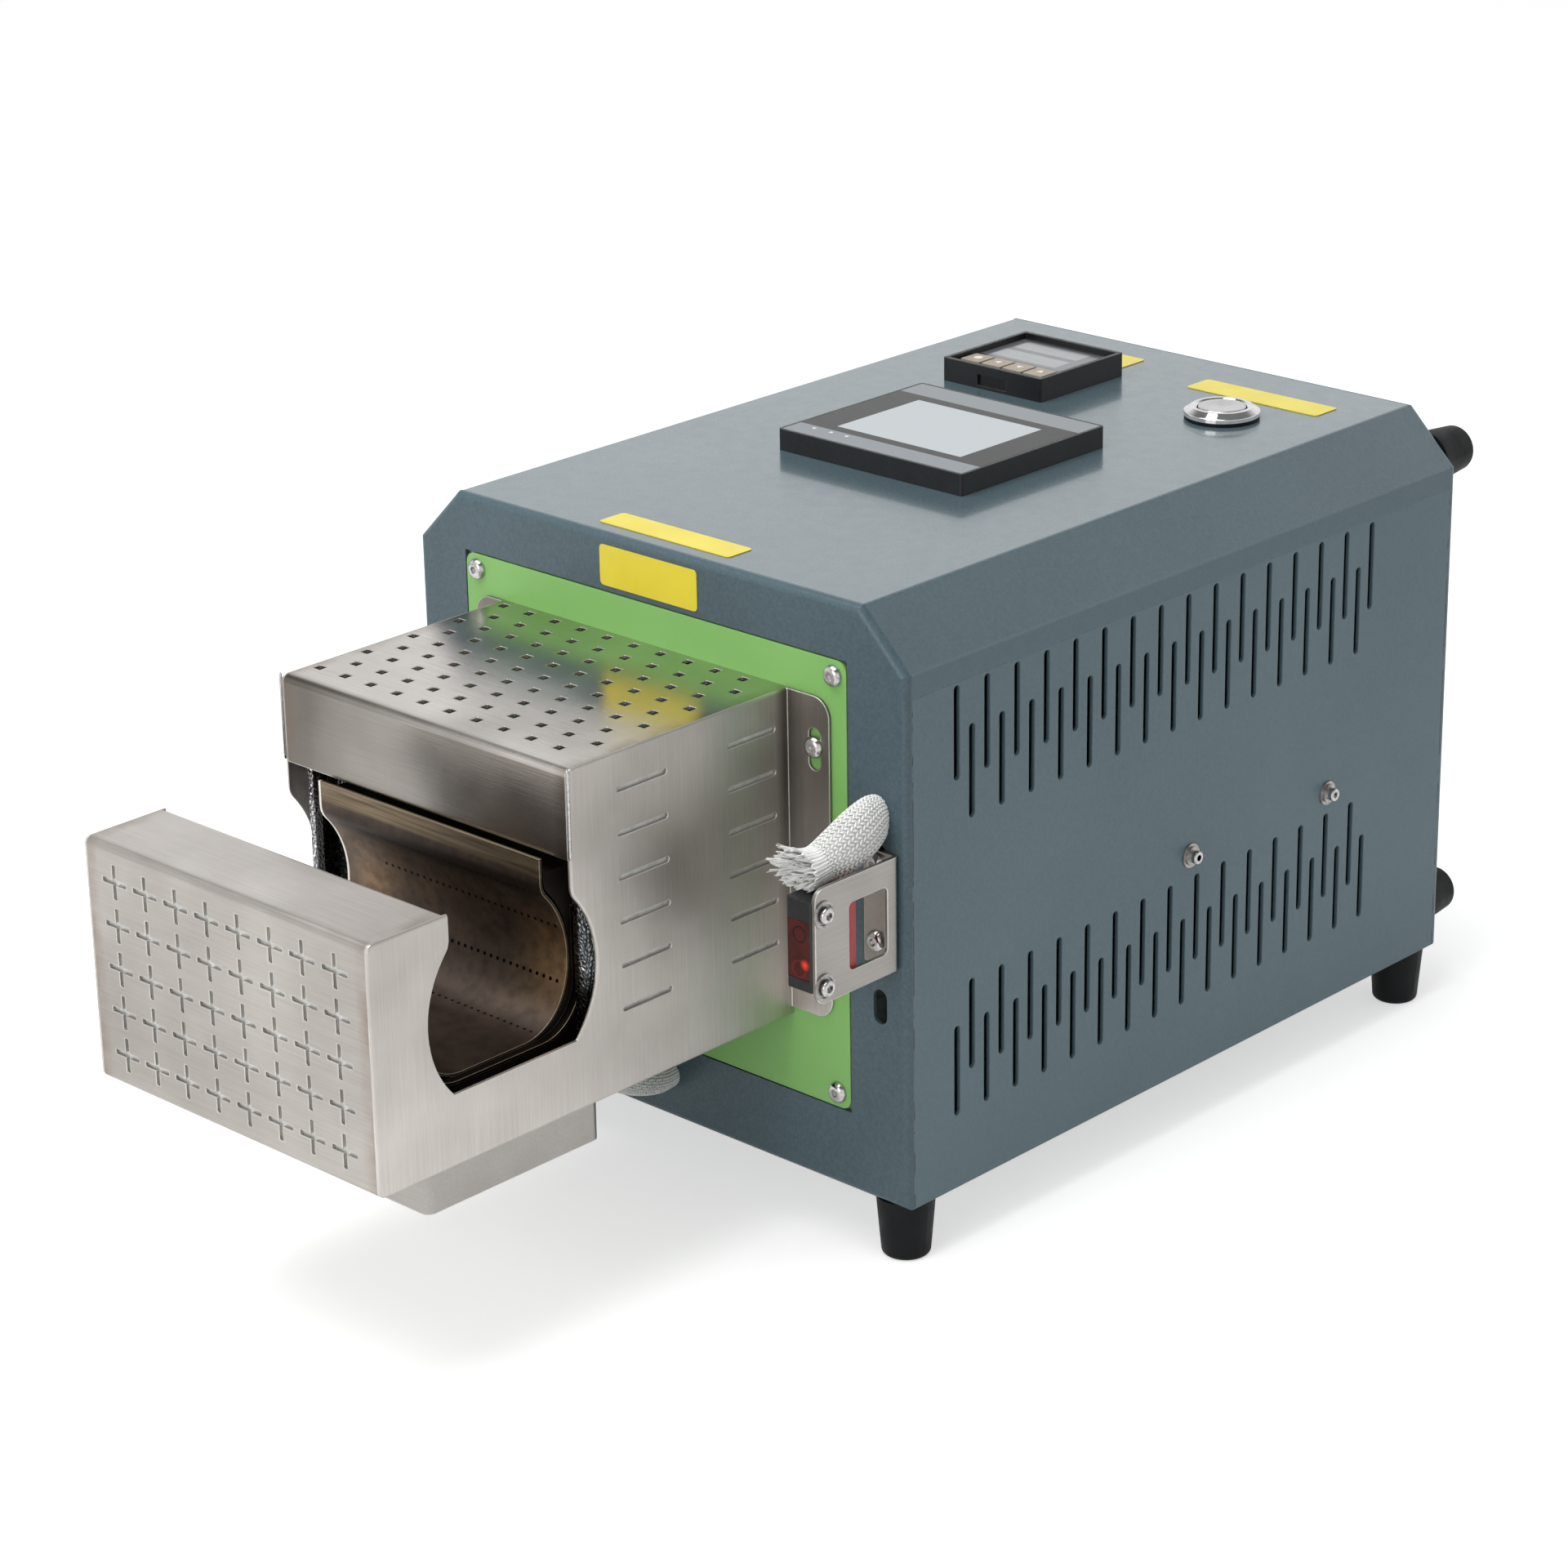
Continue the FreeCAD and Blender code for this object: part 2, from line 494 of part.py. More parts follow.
# Guard front: one sheet bent round the front block, from its rear lip over and down to the floor,
# with eight columns of crosses
guard_front = new_body("guard_front")
wrap = sketch_on(guard_front, "YZ_Plane", "%g" % (GUARD_LEFT + G))
rear, top, reach = -mm("block_rear"), mm("block_top"), -mm("guard_reach")
low, back = mm("guard_floor"), -mm("floor_rear")
outline(wrap, [(rear, mm("block_lip"), 0), (rear, top, 2.0), (reach, top, 2.5), (reach, low, 2.5),
               (back, low, 0), (back, low + G, 0), (reach + G, low + G, 1.3), (reach + G, top - G, 1.3),
               (rear - G, top - G, 0.8), (rear - G, mm("block_lip"), 0)])
pad(guard_front, wrap, "Dims.guard_wide - 2 * Dims.guard_sheet")
crosses = sketch_on(guard_front, "XZ_Plane", "Dims.guard_reach")
arm, thin = mm("cross_arm") / 2, mm("cross_slot") / 2
plus = [(arm, -thin), (arm, thin), (thin, thin), (thin, arm), (-thin, arm), (-thin, thin), (-arm, thin),
        (-arm, -thin), (-thin, -thin), (-thin, -arm), (thin, -arm), (thin, -thin)]
for i in range(5):
    level = mm("cross_top") - i * mm("cross_pitch")
    outline(crosses, [(mm("cross_left") + x, level + z, 0) for x, z in plus])
row(guard_front, pocket(guard_front, crosses, "2 * Dims.guard_sheet"), "H_Axis", 8, "Dims.cross_pitch")

# Tray welded under the guard floor
guard_tray = new_body("guard_tray")
tray = sketch_on(guard_tray, "XY_Plane", "Dims.tray_low")
rectangle(tray, "Dims.guard_side - Dims.guard_wide / 2 + 1", "-Dims.tray_front", "Dims.guard_wide - 2",
          "Dims.tray_front - Dims.tray_rear")
pad(guard_tray, tray, "Dims.guard_floor - Dims.tray_low")
round_edges(guard_tray, 3.0, lambda middle, edge: abs(edge.tangentAt(edge.FirstParameter).z) > 0.99)
tray_hollow = sketch_on(guard_tray, "XY_Plane", "Dims.guard_floor")
rectangle(tray_hollow, "Dims.guard_side - Dims.guard_wide / 2 + 1 + Dims.guard_sheet",
          "Dims.guard_sheet - Dims.tray_front", "Dims.guard_wide - 2 - 2 * Dims.guard_sheet",
          "Dims.tray_front - Dims.tray_rear - 2 * Dims.guard_sheet")
pocket(guard_tray, tray_hollow, "Dims.guard_floor - Dims.tray_low - Dims.guard_sheet")

# Nozzle liner: the sheet omega that the hot air is blown through, from end plate to end plate,
# with its front lip cut lower than its rear lip
CHAMBER_LEFT = mm("chamber_left")
SKIN = mm("liner_sheet")
liner = new_body("nozzle_liner")
section = sketch_on(liner, "YZ_Plane", "%g" % (CHAMBER_LEFT - SKIN))
inner_skin = omega(mm("liner_radius"), mm("liner_neck"), mm("liner_floor"), mm("liner_top"), mm("liner_blend"))
outer_skin = omega(mm("liner_radius") + SKIN, mm("liner_neck") + SKIN, mm("liner_floor") - SKIN,
                   mm("liner_top"), mm("liner_blend") - SKIN)
for skin in (inner_skin, outer_skin):
    for edge in skin:
        section.addGeometry(edge)
section.addGeometry(Part.LineSegment(inner_skin[0].StartPoint, outer_skin[0].StartPoint))
section.addGeometry(Part.LineSegment(inner_skin[-1].EndPoint, outer_skin[-1].EndPoint))
pad(liner, section, "Dims.chamber_wide + 2 * Dims.liner_sheet")
front_lip = sketch_on(liner, "YZ_Plane", "%g" % (CHAMBER_LEFT - SKIN))
rectangle(front_lip, "-Dims.slot_reach - 36", "Dims.liner_front_top", "24", "12")
pocket(liner, front_lip, "Dims.chamber_wide + 2 * Dims.liner_sheet", reverse=True)

# Plenum: a bent shell round the liner, open where the heater tube enters, closed by two end plates
plenum = new_body("plenum_shell")
shell = sketch_on(plenum, "YZ_Plane", "%g" % CHAMBER_LEFT)
front, rear = -mm("plenum_front"), -mm("plenum_rear")
low, high = mm("plenum_low"), mm("plenum_high")
throat = mm("liner_neck") + SKIN + 0.1
mid = -mm("slot_reach")
outline(shell, [(mid + throat, high - SKIN, 0), (mid + throat, high, 0), (rear, high, 1.5), (rear, low, 1.5),
                (front, low, 1.5), (front, high, 1.5), (mid - throat, high, 0), (mid - throat, high - SKIN, 0),
                (front + SKIN, high - SKIN, 0.5), (front + SKIN, low + SKIN, 0.5),
                (rear - SKIN, low + SKIN, 0.5), (rear - SKIN, high - SKIN, 0.5)])
pad(plenum, shell, "Dims.chamber_wide")
inlet = sketch_on(plenum, "XZ_Plane", "Dims.plenum_rear")
circle(inlet, "Dims.guard_side", "Dims.slot_level", "Dims.tube_outer + 0.4")
pocket(plenum, inlet, "2 * Dims.liner_sheet", reverse=True)

end_item = new_body("plenum_end_item", seated=False)
end_plate = sketch_on(end_item, "YZ_Plane")
notched_plate(end_plate, [(rear, high), (rear, low), (front, low), (front, high)],
              omega(mm("liner_radius") + SKIN + 0.1, throat, mm("liner_floor") - SKIN - 0.1, high,
                    mm("liner_blend") - SKIN))
pad(end_item, end_plate, "Dims.liner_sheet")
group("plenum_ends", end_item, [(Vector(CHAMBER_LEFT - SKIN, 0, 0), UPRIGHT),
                                (Vector(CHAMBER_LEFT + mm("chamber_wide"), 0, 0), UPRIGHT)])

# Foil-faced insulation boards: behind the plenum, behind the front sheet, along both sides and
# under the hood
rear_board = new_body("rear_board_item", seated=False)
board = sketch_on(rear_board, "XZ_Plane", "Dims.plenum_rear - 1")
rectangle(board, "-61.8", "61", "118.1", "104.5")
circle(board, "Dims.guard_side", "Dims.slot_level", "Dims.tube_outer + 1")
pad(rear_board, board, "6", reverse=True)
front_board = new_body("front_board_item", seated=False)
board = sketch_on(front_board, "XZ_Plane", "178.8")
rectangle(board, "-71.2", "60", "133.4", "81.4")
pad(front_board, board, "6")
BOARDS = [rear_board, front_board]
for label, left, wide, front in (("left_board_item", -68.5, 6.2, 96.0), ("right_board_item", 56.8, 5.0, 94.5)):
    side_board = new_body(label, seated=False)
    board = sketch_on(side_board, "YZ_Plane", "%g" % left)
    rectangle(board, "%g" % -front, "61", "%g" % (front - 3.0), "104.5")
    pad(side_board, board, "%g" % wide)
    BOARDS.append(side_board)
top_board = new_body("top_board_item", seated=False)
board = sketch_on(top_board, "XY_Plane", "166")
rectangle(board, "-71.2", "-99", "133.4", "96")
pad(top_board, board, "5")
BOARDS.append(top_board)
doc.recompute()
insulation = doc.addObject("Part::Compound", "insulation_boards")
insulation.Label = "insulation_boards"
insulation.Links = BOARDS
seat(insulation)

# Heater tube from the blower outlet to the plenum, with a drilled ceramic core
tube = new_body("heater_tube")
wall = sketch_on(tube, "XZ_Plane", "-Dims.tube_rear")
circle(wall, "Dims.guard_side", "Dims.slot_level", "Dims.tube_outer")
circle(wall, "Dims.guard_side", "Dims.slot_level", "Dims.tube_bore")
pad(tube, wall, "Dims.tube_rear + Dims.plenum_rear + 2")
core = new_body("heater_core")
drum = sketch_on(core, "XZ_Plane", "-110")
circle(drum, "Dims.guard_side", "Dims.slot_level", "Dims.tube_bore - 0.2")
circle(drum, "Dims.guard_side", "Dims.slot_level", "9")
for i in range(6):
    across, up = 15 * math.cos(math.pi * i / 3), 15 * math.sin(math.pi * i / 3)
    circle(drum, "Dims.guard_side + %.4f" % across, "Dims.slot_level + %.4f" % up, "9")
pad(core, drum, "90")

# Blower: a scroll with a tangential outlet to the heater tube, its inlet cover on the right
HUB = Vector(mm("guard_side"), mm("blower_rear"), mm("blower_level"))
SCROLL_LEFT = HUB.x - mm("blower_wide") / 2


def scroll(sketch, radius, outlet_end, outlet_low):
    spot = math.sqrt(radius ** 2 - (outlet_low - HUB.z) ** 2)
    top = Vector(HUB.y, HUB.z + radius, 0)
    out_top = Vector(outlet_end, HUB.z + radius, 0)
    out_low = Vector(outlet_end, outlet_low, 0)
    tongue = Vector(HUB.y - spot, outlet_low, 0)
    back = Vector(HUB.y + radius * 0.6, HUB.z - radius * 0.8, 0)
    for start, end in ((top, out_top), (out_top, out_low), (out_low, tongue)):
        sketch.addGeometry(Part.LineSegment(start, end))
    sketch.addGeometry(Part.Arc(tongue, back, top))


housing = new_body("blower_housing")
outer = sketch_on(housing, "YZ_Plane", "%g" % SCROLL_LEFT)
scroll(outer, mm("blower_radius"), mm("tube_rear"), 80.0)
pad(housing, outer, "Dims.blower_wide - Dims.blower_wall")
cavity = sketch_on(housing, "YZ_Plane", "%g" % (SCROLL_LEFT + mm("blower_wall")))
scroll(cavity, mm("blower_radius") - mm("blower_wall"), mm("tube_rear") + 2, 82.0)
pocket(housing, cavity, "Dims.blower_wide", reverse=True)
mouth = sketch_on(housing, "XZ_Plane", "-Dims.tube_rear")
circle(mouth, "Dims.guard_side", "Dims.slot_level - 3", "40")
pocket(housing, mouth, "3")
bore = sketch_on(housing, "YZ_Plane", "%g" % SCROLL_LEFT)
circle(bore, "Dims.blower_rear", "Dims.blower_level", "12")
pocket(housing, bore, "Dims.blower_wall", reverse=True)

cover = new_body("blower_cover")
lid = sketch_on(cover, "YZ_Plane", "%g" % (SCROLL_LEFT + mm("blower_wide") - mm("blower_wall")))
scroll(lid, mm("blower_radius"), mm("tube_rear"), 80.0)
circle(lid, "Dims.blower_rear", "Dims.blower_level", "58")
pad(cover, lid, "Dims.blower_wall")

impeller = new_body("blower_impeller")
plate_at = SCROLL_LEFT + 5
back_plate = sketch_on(impeller, "YZ_Plane", "%g" % plate_at)
circle(back_plate, "Dims.blower_rear", "Dims.blower_level", "2 * Dims.impeller_radius")
circle(back_plate, "Dims.blower_rear", "Dims.blower_level", "6")
pad(impeller, back_plate, "2")
boss = sketch_on(impeller, "YZ_Plane", "%g" % plate_at)
circle(boss, "Dims.blower_rear", "Dims.blower_level", "18")
circle(boss, "Dims.blower_rear", "Dims.blower_level", "6")
pad(impeller, boss, "14")
rim = sketch_on(impeller, "YZ_Plane", "%g" % (plate_at + 36))
circle(rim, "Dims.blower_rear", "Dims.blower_level", "2 * Dims.impeller_radius")
circle(rim, "Dims.blower_rear", "Dims.blower_level", "2 * Dims.impeller_radius - 14")
blades = sketch_on(impeller, "YZ_Plane", "%g" % plate_at)
COUNT = 20
for i in range(COUNT):
    turn = Rotation(Vector(0, 0, 1), 360.0 * i / COUNT)
    corners = [Vector(36.5, -1.6, 0), Vector(43.6, 2.4, 0), Vector(43.2, 3.8, 0), Vector(36.1, -0.2, 0)]
    placed = [turn.multVec(c) + Vector(HUB.y, HUB.z, 0) for c in corners]
    outline(blades, [(c.x, c.y, 0) for c in placed])
pad(impeller, blades, "37")
pad(impeller, rim, "2")

shaft = new_body("blower_shaft")
rod = sketch_on(shaft, "YZ_Plane", "%g" % (SCROLL_LEFT - 40))
circle(rod, "Dims.blower_rear", "Dims.blower_level", "6")
pad(shaft, rod, "58")
motor = new_body("blower_motor")
can = sketch_on(motor, "YZ_Plane", "%g" % (SCROLL_LEFT - mm("motor_long")))
circle(can, "Dims.blower_rear", "Dims.blower_level", "2 * Dims.motor_radius")
pad(motor, can, "Dims.motor_long")
round_edges(motor, 4.0, lambda middle, edge: middle.x < SCROLL_LEFT - 40)
bearing = sketch_on(motor, "YZ_Plane", "%g" % SCROLL_LEFT)
circle(bearing, "Dims.blower_rear", "Dims.blower_level", "6.8")
pocket(motor, bearing, "41")
stand = new_body("blower_stand")
saddle = sketch_on(stand, "YZ_Plane", "%g" % (HUB.x - 15))
rise = 24.0
spread = math.sqrt(mm("blower_radius") ** 2 - (HUB.z - rise) ** 2)
saddle_points = [Vector(HUB.y - spread, rise, 0), Vector(HUB.y - 42, SHEET, 0), Vector(HUB.y + 42, SHEET, 0),
                 Vector(HUB.y + spread, rise, 0)]
for start, end in zip(saddle_points, saddle_points[1:]):
    saddle.addGeometry(Part.LineSegment(start, end))
saddle.addGeometry(Part.Arc(saddle_points[3], Vector(HUB.y, HUB.z - mm("blower_radius"), 0), saddle_points[0]))
pad(stand, saddle, "30")

# Power supply on the right wall; solid-state relay and its finned sink on the left wall
supply = new_body("power_supply")
box = sketch_on(supply, "YZ_Plane", "Dims.case_width / 2 - Dims.case_sheet - 30")
rectangle(box, "Dims.side_screw_front - 9", "Dims.side_screw_level - 6.7", "98", "55")
pad(supply, box, "30")
tapped = sketch_on(supply, "YZ_Plane", "Dims.case_width / 2 - Dims.case_sheet")
circle(tapped, "Dims.side_screw_front", "Dims.side_screw_level", "5.2")
circle(tapped, "Dims.side_screw_front + Dims.side_screw_pitch", "Dims.side_screw_level", "5.2")
pocket(supply, tapped, "9")

sink = new_body("relay_heatsink")
plate = sketch_on(sink, "YZ_Plane", "Dims.case_sheet - Dims.case_width / 2")
rectangle(plate, "Dims.side_screw_front - 10", "Dims.side_screw_level - 6.7", "100", "55")
pad(sink, plate, "10")
comb = sketch_on(sink, "YZ_Plane", "Dims.case_sheet - Dims.case_width / 2 + 10")
rectangle(comb, "Dims.side_screw_front + 7", "Dims.side_screw_level - 4", "66", "3.5")
row(sink, pocket(sink, comb, "6"), "V_Axis", 9, "6")
tapped = sketch_on(sink, "YZ_Plane", "Dims.case_sheet - Dims.case_width / 2")
circle(tapped, "Dims.side_screw_front", "Dims.side_screw_level", "5.2")
circle(tapped, "Dims.side_screw_front + Dims.side_screw_pitch", "Dims.side_screw_level", "5.2")
pocket(sink, tapped, "9", reverse=True)
relay = new_body("solid_state_relay")
block = sketch_on(relay, "YZ_Plane", "Dims.case_sheet - Dims.case_width / 2 + 10")
rectangle(block, "Dims.side_screw_front + 18", "Dims.side_screw_level - 6", "44", "53")
pad(relay, block, "24")

# Cap screws and washers that hold them through the side walls
washer_item = new_body("washer_item", seated=False)
disc = sketch_on(washer_item, "XY_Plane")
circle(disc, "0", "0", "11.5")
circle(disc, "0", "0", "5.4")
pad(washer_item, disc, "1")
cap_head = screw("cap_head_item", 5.0, 9.0, 8.5, 3.4, 0.5, 2.3)
SIDE_SCREWS = [(mm("side_screw_front") + i * mm("side_screw_pitch"), mm("side_screw_level")) for i in (0, 1)]
group("side_washers", washer_item,
      [(Vector(W / 2, y, z), FACING_RIGHT) for y, z in SIDE_SCREWS]
      + [(Vector(-W / 2, y, z), FACING_LEFT) for y, z in SIDE_SCREWS])
group("side_screws", cap_head,
      [(Vector(W / 2 + 1, y, z), FACING_RIGHT) for y, z in SIDE_SCREWS]
      + [(Vector(-W / 2 - 1, y, z), FACING_LEFT) for y, z in SIDE_SCREWS])

# Temperature controller: square bezel over the panel, housing below it, face and four keys in the rim
controller = new_body("controller_housing")
bezel = sketch_on(controller, "XY_Plane", "Dims.case_height")
rectangle(bezel, "Dims.controller_side - Dims.controller_square / 2",
          "Dims.controller_back - Dims.controller_square / 2", "Dims.controller_square",
          "Dims.controller_square")
pad(controller, bezel, "Dims.controller_proud")
round_edges(controller, 0.8, lambda middle, edge: abs(edge.tangentAt(edge.FirstParameter).z) > 0.99)
back = sketch_on(controller, "XY_Plane", "Dims.case_height")
rectangle(back, "Dims.controller_side - Dims.controller_body / 2",
          "Dims.controller_back - Dims.controller_body / 2", "Dims.controller_body", "Dims.controller_body")
pad(controller, back, "Dims.controller_deep", reverse=True)
recess = sketch_on(controller, "XY_Plane", "Dims.case_height + Dims.controller_proud")
rectangle(recess, "Dims.controller_side - 22.4", "Dims.controller_back - 22.4", "44.8", "44.8")
pocket(controller, recess, "5")
pull = sketch_on(controller, "XZ_Plane", "Dims.controller_square / 2 - Dims.controller_back")
rectangle(pull, "Dims.controller_side - 7", "Dims.case_height + 1.2", "14", "4.2")
pocket(controller, pull, "1")

controller_face = new_body("controller_face")
sheet = sketch_on(controller_face, "XY_Plane", "Dims.case_height + Dims.controller_proud - 5")
rectangle(sheet, "Dims.controller_side - 22.3", "Dims.controller_back - 22.3", "44.6", "44.6")
pad(controller_face, sheet, "3")
KEY_SIDES = (-16.6, -6.4, 3.8, 14.0)
key_holes = sketch_on(controller_face, "XY_Plane", "Dims.case_height + Dims.controller_proud - 2")
for side in KEY_SIDES:
    rectangle(key_holes, "Dims.controller_side + %g - 4.85" % side, "Dims.controller_back - 17.6", "9.7", "9.8")
pocket(controller_face, key_holes, "3")
for name, side in zip(("set", "shift", "down", "up"), KEY_SIDES):
    key = new_body("controller_key_" + name)
    pill = sketch_on(key, "XY_Plane", "Dims.case_height + Dims.controller_proud - 4.2")
    across, along = mm("controller_side") + side, mm("controller_back") - 12.7
    outline(pill, [(across + i * 4.55, along + j * 4.6, 0.5) for i, j in ((-1, -1), (1, -1), (1, 1), (-1, 1))])
    pad(key, pill, "2.8")
clamp = new_body("controller_clamp")
frame = sketch_on(clamp, "XY_Plane", "Dims.case_height - Dims.case_sheet")
for size in ("52", "Dims.controller_body + 0.2"):
    rectangle(frame, "Dims.controller_side - (%s) / 2" % size, "Dims.controller_back - (%s) / 2" % size, size, size)
pad(clamp, frame, "8", reverse=True)

# Touch panel: low bezel with a glass overlay, housing below the panel held by four screw clamps
touch = new_body("touch_panel_housing")
bezel = sketch_on(touch, "XY_Plane", "Dims.case_height")
rectangle(bezel, "-Dims.touch_wide / 2", "Dims.touch_back - Dims.touch_long / 2", "Dims.touch_wide",
          "Dims.touch_long")
pad(touch, bezel, "Dims.touch_proud")
round_edges(touch, 1.2, lambda middle, edge: abs(edge.tangentAt(edge.FirstParameter).z) > 0.99)
back = sketch_on(touch, "XY_Plane", "Dims.case_height")
rectangle(back, "-38", "Dims.touch_back - 34", "76", "68")
pad(touch, back, "Dims.touch_deep", reverse=True)
recess = sketch_on(touch, "XY_Plane", "Dims.case_height + Dims.touch_proud")
rectangle(recess, "1 - Dims.touch_wide / 2", "Dims.touch_back - Dims.touch_long / 2 + 1",
          "Dims.touch_wide - 2", "Dims.touch_long - 2")
pocket(touch, recess, "1.2")
overlay = new_body("touch_panel_overlay")
glass = sketch_on(overlay, "XY_Plane", "Dims.case_height + Dims.touch_proud - 1.2")
rectangle(glass, "1.1 - Dims.touch_wide / 2", "Dims.touch_back - Dims.touch_long / 2 + 1.1",
          "Dims.touch_wide - 2.2", "Dims.touch_long - 2.2")
pad(overlay, glass, "1.2")
clip_item = new_body("clip_item", seated=False)
clip = sketch_on(clip_item, "XZ_Plane", "-4")
outline(clip, [(0, -14, 0), (12, -14, 0), (12, 0, 0), (8, 0, 0), (8, -8, 0), (0, -8, 0)])
pad(clip_item, clip, "8")
under = H - SHEET
turned = Rotation(Vector(0, 0, 1), 180)
back_of = mm("touch_back")
group("touch_panel_clamps", clip_item,
      [(Vector(38, back_of + j * 20, under), UPRIGHT) for j in (-1, 1)]
      + [(Vector(-38, back_of + j * 20, under), turned) for j in (-1, 1)])

# Start button: turned bezel and barrel, gasket, nut and a sprung plunger with a dished top
bezel = new_body("start_button_bezel")
turned_profile = sketch_on(bezel, "XZ_Plane", "-Dims.button_back")
x, z = mm("button_side"), H
head, barrel, bore = mm("button_head") / 2, mm("button_barrel") / 2, mm("button_plunger") / 2 + 0.35
outline(turned_profile, [(x + bore, z + 4.0, 0), (x + bore, z - 24, 0), (x + 5, z - 24, 0), (x + 5, z - 27, 0),
                         (x + barrel, z - 27, 0), (x + barrel, z + 1.4, 0), (x + head, z + 1.4, 0),
                         (x + head, z + 2.9, 0.4), (x + head - 2.6, z + 4.6, 0.3), (x + bore + 0.8, z + 4.6, 0.3)])
turned_profile.addGeometry(Part.LineSegment(Vector(x, z - 40, 0), Vector(x, z + 20, 0)), True)
revolve(bezel, turned_profile, "Axis0")
gasket = new_body("start_button_gasket")
seal = sketch_on(gasket, "XY_Plane", "Dims.case_height")
circle(seal, "Dims.button_side", "Dims.button_back", "Dims.button_head - 0.4")
circle(seal, "Dims.button_side", "Dims.button_back", "Dims.button_barrel + 0.2")
pad(gasket, seal, "1.4")
plunger = new_body("start_button_plunger")
turned_profile = sketch_on(plunger, "XZ_Plane", "-Dims.button_back")
outer = mm("button_plunger") / 2
outline(turned_profile, [(x, z - 20, 0), (x + outer, z - 20, 0), (x + outer, z + 4.5, 0.5),
                         (x + outer - 2, z + 4.5, 0), (x, z + 4.0, 0)])
turned_profile.addGeometry(Part.LineSegment(Vector(x, z - 40, 0), Vector(x, z + 20, 0)), True)
revolve(plunger, turned_profile, "Axis0")
nut = new_body("start_button_nut")
hexagon = sketch_on(nut, "XY_Plane", "Dims.case_height - Dims.case_sheet")
outline(hexagon, [(x + 17 * math.cos(math.pi * i / 3), mm("button_back") + 17 * math.sin(math.pi * i / 3), 0)
                  for i in range(6)])
circle(hexagon, "Dims.button_side", "Dims.button_back", "Dims.button_barrel + 0.3")
pad(nut, hexagon, "5", reverse=True)

# Sensor bracket: an angle with a window, its rear leg on the case front
bracket = new_body("sensor_bracket")
angle = sketch_on(bracket, "XY_Plane", "Dims.bracket_low")
right, left, reach = mm("bracket_face"), mm("bracket_side"), -mm("bracket_reach")
skin = mm("bracket_sheet")
outline(angle, [(left, 0, 0), (left, -skin, 0), (right - skin, -skin, 0.5), (right - skin, reach, 0),
                (right, reach, 0), (right, 0, 2.0)])
pad(bracket, angle, "Dims.bracket_high - Dims.bracket_low")
round_edges(bracket, 4.5, lambda middle, edge: abs(edge.tangentAt(edge.FirstParameter).x) > 0.99
            and middle.y < reach + 0.1 and edge.Length < 2)
view = sketch_on(bracket, "YZ_Plane", "Dims.bracket_face")
outline(view, [(y, z, 2.0) for y, z in ((-24.5, 95.5), (-6.0, 95.5), (-6.0, 119.3), (-24.5, 119.3))])
SENSOR_SCREWS = [mm("sensor_screw_low"), mm("sensor_screw_high")]
BRACKET_SCREWS = [mm("bracket_slot_low"), mm("bracket_slot_high")]
for level in SENSOR_SCREWS:
    obround(view, -mm("sensor_screw_reach"), level, 3.4, 3.4)
pocket(bracket, view, "2 * Dims.bracket_sheet")
leg_slots = sketch_on(bracket, "XZ_Plane", "Dims.bracket_sheet")
for level in BRACKET_SCREWS:
    obround(leg_slots, mm("bracket_slot_side"), level, 4.4, 7.0)
pocket(bracket, leg_slots, "Dims.bracket_sheet")
group("bracket_screws", button_head,
      [(Vector(mm("bracket_slot_side"), -skin, z), FACING_FRONT) for z in BRACKET_SCREWS])

# Photoelectric sensor: moulded housing with a red window in its front and a red rear cap
sensor = new_body("sensor_housing")
mould = sketch_on(sensor, "XY_Plane", "Dims.sensor_low")
inner = right - skin - mm("sensor_wide")
nose = reach - 0.5
rear_face = nose + mm("sensor_long")
split = rear_face - mm("sensor_cap")
outline(mould, [(inner, nose, 1.2), (right - skin, nose, 0.6), (right - skin, split, 0), (inner, split, 0)])
pad(sensor, mould, "Dims.sensor_tall")
lens_seat = sketch_on(sensor, "XZ_Plane", "Dims.bracket_reach + 0.5")
rectangle(lens_seat, "%g" % (inner + 0.9), "96.2", "9.2", "20.6")
pocket(sensor, lens_seat, "1.2")
tapped = sketch_on(sensor, "YZ_Plane", "Dims.bracket_face - Dims.bracket_sheet")
for level in SENSOR_SCREWS:
    obround(tapped, -mm("sensor_screw_reach"), level, 3.2, 3.2)
pocket(sensor, tapped, "6")
lens = new_body("sensor_lens")
window = sketch_on(lens, "XZ_Plane", "Dims.bracket_reach - 0.7")
rectangle(window, "%g" % (inner + 1.0), "96.3", "9", "20.4")
pad(lens, window, "1.1")
cap = new_body("sensor_cap")
mould = sketch_on(cap, "XY_Plane", "Dims.sensor_low")
outline(mould, [(inner, split, 0), (right - skin, split, 0), (right - skin, rear_face, 0.8),
                (inner, rear_face, 0.8)])
pad(cap, mould, "Dims.sensor_tall")
pan_head = screw("pan_head_item", 3.0, 7.0, 5.8, 2.6, 0.9, 1.5)
group("sensor_screws", pan_head,
      [(Vector(right, -mm("sensor_screw_reach"), z), FACING_RIGHT) for z in SENSOR_SCREWS])


